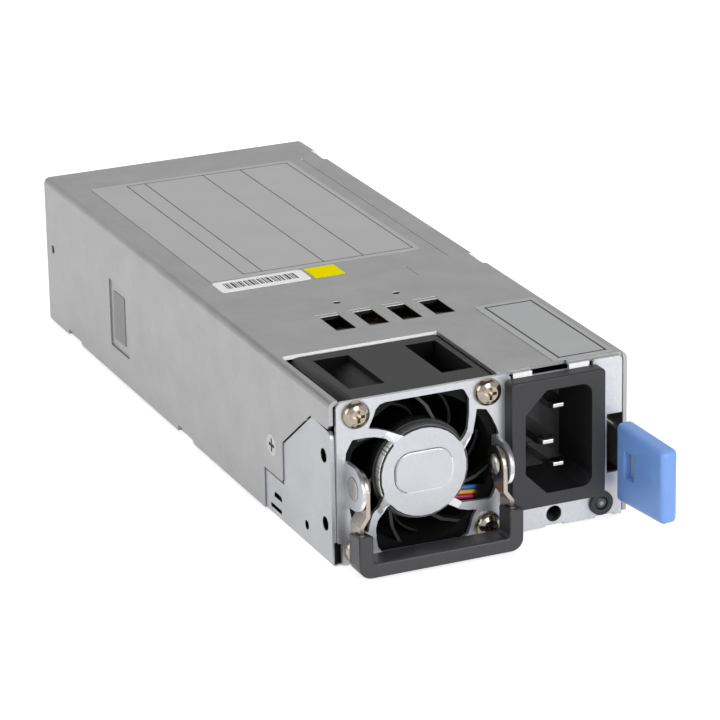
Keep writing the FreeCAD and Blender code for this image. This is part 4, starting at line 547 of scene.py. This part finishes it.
# ---------------------------------------------------------------------------------------------
# Operators
# ---------------------------------------------------------------------------------------------
class SUPPLY_OT_stage(bpy.types.Operator):
    """Camera, studio light and pale floor"""

    bl_idname = "supply.stage"
    bl_label = "Stage"

    def execute(self, context):
        scene = context.scene
        scene.view_settings.view_transform = "Standard"
        camera = bpy.data.cameras.new("camera")
        camera.lens = CAMERA_LENS
        camera.sensor_width = 36.0
        camera.clip_end = 20.0
        camera.clip_start = 0.05
        holder = bpy.data.objects.new("camera", camera)
        scene.collection.objects.link(holder)
        turn = (Matrix.Rotation(math.radians(CAMERA_PAN), 4, "Z")
                @ Matrix.Rotation(math.radians(90 + CAMERA_TILT), 4, "X")
                @ Matrix.Rotation(math.radians(CAMERA_ROLL), 4, "Z"))
        holder.matrix_world = Matrix.Translation(Vector(CAMERA_SPOT) * MM) @ turn
        scene.camera = holder

        # The floor and the world show white to the camera and in reflections, and light the part plainly.
        deselect_all()
        bpy.ops.mesh.primitive_plane_add(size=6.0, location=(0, 0, frame_box[0][2] - 0.4 * MM))
        floor = context.object
        floor.name = "floor"
        material, tree, _, _ = new_material("white_studio_floor")
        light = add_node(tree, "LightPath")
        seen = add_node(tree, "Math", {0: light.outputs["Is Camera Ray"], 1: light.outputs["Is Glossy Ray"]},
                        operation="MAXIMUM")
        seen = add_node(tree, "Math", {0: seen, 1: light.outputs["Is Transmission Ray"]}, operation="MAXIMUM")
        paint = add_node(tree, "BsdfDiffuse", {"Color": (0.93, 0.93, 0.93, 1.0)})
        glow = add_node(tree, "Emission", {"Color": (1, 1, 1, 1), "Strength": 0.66})
        both = add_node(tree, "AddShader", {0: paint, 1: glow})
        mix = add_node(tree, "MixShader", {0: seen, 1: paint, 2: both})
        add_node(tree, "OutputMaterial", {"Surface": mix})
        floor.data.materials.append(material)

        world = bpy.data.worlds.new("studio")
        scene.world = world
        world.use_nodes = True
        tree = world.node_tree
        tree.nodes.clear()
        light = add_node(tree, "LightPath")
        seen = add_node(tree, "Math", {0: light.outputs["Is Camera Ray"], 1: light.outputs["Is Transmission Ray"]},
                        operation="MAXIMUM")
        seen = add_node(tree, "Math", {0: seen, 1: light.outputs["Is Glossy Ray"]}, operation="MAXIMUM")
        dim = add_node(tree, "Background", {"Color": (1, 1, 1, 1), "Strength": 0.4})
        white = add_node(tree, "Background", {"Color": (1, 1, 1, 1), "Strength": 1.0})
        # Bright work shows a dusky ceiling over the pale room, as under a studio's dark roof.
        rise = add_node(tree, "SeparateXYZ", {0: add_node(tree, "TexCoord").outputs["Generated"]})
        roof = add_node(tree, "MapRange", {"Value": rise.outputs["Z"], "From Min": 0.35, "From Max": 0.85,
                                           "To Min": 0.9, "To Max": 0.16}, interpolation_type="SMOOTHSTEP")
        dusk = add_node(tree, "Background", {"Color": (1, 1, 1, 1), "Strength": roof})
        mirrored = add_node(tree, "MixShader", {0: light.outputs["Is Glossy Ray"], 1: white, 2: dusk})
        mix = add_node(tree, "MixShader", {0: seen, 1: dim, 2: mirrored})
        add_node(tree, "OutputWorld", {"Surface": mix})

        for name, spot, size, power in LAMPS:
            lamp = bpy.data.lights.new(name, "AREA")
            lamp.shape = "DISK"
            lamp.size = size
            lamp.energy = power
            stand = bpy.data.objects.new(name, lamp)
            scene.collection.objects.link(stand)
            aim = (LAMP_AIM - Vector(spot)).to_track_quat("-Z", "Y")
            stand.matrix_world = Matrix.Translation(spot) @ aim.to_matrix().to_4x4()
        return {"FINISHED"}


class SUPPLY_OT_finishes(bpy.types.Operator):
    """Finishes and broken edges on the frame's own solids"""

    bl_idname = "supply.finishes"
    bl_label = "Finishes"

    def execute(self, context):
        make_finishes(context.scene.supply_colours)
        for name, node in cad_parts.items():
            node.data.materials.clear()
            node.data.materials.append(FINISHES[NODE_FINISH[name]])
            width = context.scene.supply_sizes.edge if name in SHEARED else EDGE_BREAK.get(name, 0) * MM
            if not width:
                continue
            weld = node.modifiers.new("weld", "WELD")
            weld.merge_threshold = 1e-6
            flat = node.modifiers.new("flat_faces", "DECIMATE")
            flat.decimate_type = "DISSOLVE"
            flat.angle_limit = math.radians(0.3)
            bevel = node.modifiers.new("edge_break", "BEVEL")
            bevel.width = width
            bevel.segments = 2
            bevel.limit_method = "ANGLE"
            bevel.angle_limit = math.radians(35)
            bevel.harden_normals = True
        return {"FINISHED"}


class SUPPLY_OT_impeller(bpy.types.Operator):
    """Swept blades on a hollow cup, in place of the plain rotor"""

    bl_idname = "supply.impeller"
    bl_label = "Impeller"

    def execute(self, context):
        middle, low, high = place("fan_impeller")
        sizes = context.scene.supply_sizes
        tip = (high.x - low.x) / 2 - 0.3 * MM
        length = high.y - low.y
        wall, floor, tolerance = 1.2 * MM, 2.0 * MM, 0.05 * MM
        deselect_all()
        bpy.ops.mesh.primitive_cylinder_add(vertices=72, radius=sizes.cup, depth=length, location=middle,
                                            rotation=(math.pi / 2, 0, 0))
        bpy.ops.object.transform_apply(location=True, rotation=True, scale=True)
        hub = context.object
        # The open front is sunk to leave the cup's wall; the closed back is softened at its rim.
        pick_faces(hub, lambda face: face.normal.y < -0.9)
        bpy.ops.mesh.inset(thickness=wall)
        bpy.ops.mesh.extrude_region_move(TRANSFORM_OT_translate={"value": (0, length - floor, 0)})
        pick_faces(hub, lambda face: face.normal.y > 0.9 and face.center.y > high.y - 0.1 * MM)
        bpy.ops.mesh.bevel(offset=wall, segments=4, affect="EDGES")
        bpy.ops.object.mode_set(mode="OBJECT")

        # One blade starts flat above the hub; its columns sweep forward and its rows turn into a helix.
        root = sizes.cup - 0.3 * MM
        sweep, helix, bow = math.radians(30), math.radians(52), 0.1
        columns, rows = 8, 10
        chord = length - 1.4 * MM
        bpy.ops.object.select_all(action="DESELECT")
        bpy.ops.mesh.primitive_grid_add(x_subdivisions=columns, y_subdivisions=rows, size=1,
                                        location=(middle.x, middle.y, middle.z + (root + tip) / 2),
                                        rotation=(0, -math.pi / 2, 0))
        blade = context.object
        blade.scale = (tip - root, chord, 1)
        bpy.ops.object.transform_apply(location=True, rotation=True, scale=True)
        spots = [point.co.copy() for point in blade.data.vertices]
        for column in range(columns + 1):
            share = column / columns
            level = middle.z + root + (tip - root) * share
            turn_points(blade, [i for i, spot in enumerate(spots) if abs(spot.z - level) < tolerance],
                        sweep * share ** 1.6, middle)
        for row in range(rows + 1):
            share = row / rows
            level = middle.y - chord / 2 + chord * share
            turn_points(blade, [i for i, spot in enumerate(spots) if abs(spot.y - level) < tolerance],
                        -helix * (share - bow * math.sin(math.pi * share)), middle)
        apply_modifier(blade, "SOLIDIFY", thickness=sizes.blade, offset=0)
        apply_modifier(blade, "BEVEL", width=0.2 * MM, segments=2, limit_method="ANGLE",
                       angle_limit=math.radians(50))
        blades = [blade]
        for step in range(1, sizes.blades):
            deselect_all()
            blade.select_set(True)
            context.view_layer.objects.active = blade
            bpy.ops.object.duplicate()
            copy = context.object
            turn_points(copy, range(len(copy.data.vertices)), math.tau * step / sizes.blades, middle)
            blades.append(copy)
        made = join("swept_impeller", [hub] + blades)
        bpy.ops.object.shade_smooth_by_angle(angle=math.radians(35))
        finish_piece(made, "rotor", body="fan_rotor")
        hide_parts("fan_impeller")
        return {"FINISHED"}


class SUPPLY_OT_fittings(bpy.types.Operator):
    """The disc's ring of painted shadow, rolled rim and pressed boss, the creases' floors and a block of painted
    shade behind the flange notch
    """

    bl_idname = "supply.fittings"
    bl_label = "Small fittings"

    def execute(self, context):
        axle, _, _ = place("fan_shaft")
        # The first ring is painted shadow: a black ring in the device-package finish where the disc's edge lies in
        # shade. The second carries the rim's painted highlight.
        # Each ring's name, inner radius, front and back edge in millimetres, and finish.
        for name, radius, front, back, finish in (
            ("disc_edge_shadow_ring", 10.45, -94.2, -94.0, "package"),
            ("disc_rolled_rim", 10.7, -93.95, -92.05, "rim"),
        ):
            deselect_all()
            bpy.ops.mesh.primitive_cylinder_add(
                vertices=96, radius=radius * MM, depth=(back - front) * MM, end_fill_type="NOTHING",
                location=(axle.x, (front + back) / 2 * MM, axle.z), rotation=(math.pi / 2, 0, 0))
            bpy.ops.object.transform_apply(location=True, rotation=True, scale=True)
            ring = context.object
            apply_modifier(ring, "SOLIDIFY", thickness=0.2 * MM, offset=1.0)
            apply_modifier(ring, "BEVEL", width=0.08 * MM, segments=2, limit_method="ANGLE",
                           angle_limit=math.radians(50))
            ring.name = name
            bpy.ops.object.shade_smooth_by_angle(angle=math.radians(35))
            finish_piece(ring, finish)

        # The boss stands just proud of the disc, with rounded ends and a soft step round it.
        deselect_all()
        bpy.ops.mesh.primitive_plane_add(size=1, rotation=(math.pi / 2, 0, 0),
                                         location=(axle.x - 0.1 * MM, -94.1 * MM, axle.z + 0.35 * MM))
        boss = context.object
        boss.scale = (14.4 * MM, 9.9 * MM, 1)
        bpy.ops.object.transform_apply(location=True, rotation=True, scale=True)
        apply_modifier(boss, "BEVEL", affect="VERTICES", width=4.1 * MM, segments=10)
        apply_modifier(boss, "SOLIDIFY", thickness=1.24 * MM, offset=0)
        apply_modifier(boss, "BEVEL", width=0.42 * MM, segments=2, limit_method="ANGLE",
                       angle_limit=math.radians(50))
        boss.name = "pressed_boss"
        bpy.ops.object.shade_flat()
        finish_piece(boss, "boss")

        # Each crease's left side, front and rear in millimetres.
        floors = [slab("crease", (x * MM, front * MM, 38.66 * MM), ((x + 0.44) * MM, rear * MM, 38.92 * MM))
                  for x, front, rear in ((29.28, -13.6, 76.5), (16.8, -23.3, -15.5))]
        finish_piece(join("crease_floors", floors), "cover")

        # A dark block of painted shade behind the flange notch, in the fan's finish, whose front faces take the
        # fan's painted shade.
        corner = slab("notch_shade_block", (-35.3 * MM, -91.95 * MM, 1.1 * MM), (-33.3 * MM, -90.4 * MM, 5.6 * MM))
        finish_piece(corner, "fan")
        return {"FINISHED"}


class SUPPLY_OT_tab(bpy.types.Operator):
    """The latch's soft-edged tab, with the leaf seen through its slot"""

    bl_idname = "supply.tab"
    bl_label = "Latch tab"

    def execute(self, context):
        _, low, high = place("latch_tab")
        sizes = context.scene.supply_sizes
        length, thick, slant = high.y - low.y, sizes.tab, 0.115
        lean = math.atan(slant)
        left = low.x - 1.26 * MM
        bottom, top = low.z - 0.4 * MM, high.z + 0.5 * MM
        middle = Vector((left + thick / 2 + length / 2 * slant, (low.y + high.y) / 2, (bottom + top) / 2))
        deselect_all()
        bpy.ops.mesh.primitive_cube_add(size=1, location=middle, rotation=(0, 0, lean),
                                        scale=(thick, length / math.cos(lean) - 0.4 * MM, top - bottom))
        bpy.ops.object.transform_apply(location=True, rotation=True, scale=True)
        tab = context.object
        # The top edge falls a little towards the front.
        front_top = [point.index for point in tab.data.vertices if point.co.y < middle.y and point.co.z > middle.z]
        pick_points(tab, front_top)
        bpy.ops.transform.translate(value=(0, 0, -1.4 * MM))
        bpy.ops.object.mode_set(mode="OBJECT")
        apply_modifier(tab, "BEVEL", width=sizes.tab_round, segments=5)
        cutter = slab("slot_cutter", (left - 2 * MM, -104.7 * MM, 12.0 * MM),
                      (left + 2.4 * MM, -100.8 * MM, 18.5 * MM))
        apply_modifier(tab, "BOOLEAN", operation="DIFFERENCE", object=cutter)
        bpy.data.objects.remove(cutter)
        apply_modifier(tab, "BEVEL", width=0.12 * MM, segments=2, limit_method="ANGLE",
                       angle_limit=math.radians(60))
        tab.name = "soft_edged_tab"
        bpy.ops.object.shade_smooth_by_angle(angle=math.radians(35))
        finish_piece(tab, "tab", body="latch")
        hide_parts("latch_tab")
        tip = slab("leaf_in_slot", (left + 1.9 * MM, -104.1 * MM, 12.4 * MM),
                   (left + 2.3 * MM, -101.4 * MM, 18.2 * MM))
        apply_modifier(tip, "BEVEL", width=0.08 * MM, segments=2)
        finish_piece(tip, "spring", body="latch")
        return {"FINISHED"}


class SUPPLY_OT_prints(bpy.types.Operator):
    """Printed rules on the silver labels and plain bars on the white one"""

    bl_idname = "supply.prints"
    bl_label = "Label prints"

    def execute(self, context):
        sizes = context.scene.supply_sizes
        _, _, high = place("rating_label")
        top = high.z

        def border(sides, wide):
            """The four rules of a border: front, rear, left and right."""
            left, right, front, rear = sides
            return [(left, front, right, front + wide), (left, rear - wide, right, rear),
                    (left, front, left + wide, rear), (right - wide, front, right, rear)]

        def print_lines(name, lines, finish):
            """Join flat lines into one print on top of its film."""
            parts = [slab(name, (left * MM, front * MM, top), (right * MM, rear * MM, top + sizes.print_rise))
                     for left, front, right, rear in lines]
            finish_piece(join(name, parts), finish)

        wide = sizes.rule / MM
        _, _, front, rear = RATING_BORDER
        columns = [(x, front, x + wide, rear) for x in RATING_COLUMNS]
        print_lines("rating_label_rules", border(RATING_BORDER, wide) + columns, "ink")
        print_lines("seal_label_border", border(SEAL_BORDER, sizes.seal_rule / MM), "black_ink")

        # Plain bars of uneven widths, which stand for no number.
        x, end, front, rear = BAR_ROW
        bars = []
        while x < end:
            width = BAR_WIDTHS[len(bars) % len(BAR_WIDTHS)]
            gap = BAR_GAPS[len(bars) % len(BAR_GAPS)]
            bars.append((x, front, x + width, rear))
            x += width + gap
        print_lines("serial_label_bars", bars, "black_ink")
        return {"FINISHED"}


class SUPPLY_PT_panel(bpy.types.Panel):
    """Lists the steps that dress the power supply"""

    bl_label = "Power supply"
    bl_idname = "SUPPLY_PT_panel"
    bl_space_type = "VIEW_3D"
    bl_region_type = "UI"
    bl_category = "Power supply"

    def draw(self, context):
        for step in STEPS:
            self.layout.operator(step.bl_idname)


STEPS = (SUPPLY_OT_stage, SUPPLY_OT_finishes, SUPPLY_OT_impeller, SUPPLY_OT_fittings, SUPPLY_OT_tab,
         SUPPLY_OT_prints)
CLASSES = (SupplyColours, SupplySizes) + STEPS + (SUPPLY_PT_panel,)


def register():
    """Register the classes and hang the values on the scene."""
    for entry in CLASSES:
        bpy.utils.register_class(entry)
    bpy.types.Scene.supply_colours = bpy.props.PointerProperty(type=SupplyColours)
    bpy.types.Scene.supply_sizes = bpy.props.PointerProperty(type=SupplySizes)


def unregister():
    """Take the values and the classes away again."""
    del bpy.types.Scene.supply_sizes
    del bpy.types.Scene.supply_colours
    for entry in reversed(CLASSES):
        bpy.utils.unregister_class(entry)


def main():
    """Run every step in order."""
    register()
    bpy.ops.supply.stage()
    bpy.ops.supply.finishes()
    bpy.ops.supply.impeller()
    bpy.ops.supply.fittings()
    bpy.ops.supply.tab()
    bpy.ops.supply.prints()


if __name__ == "__main__":
    main()
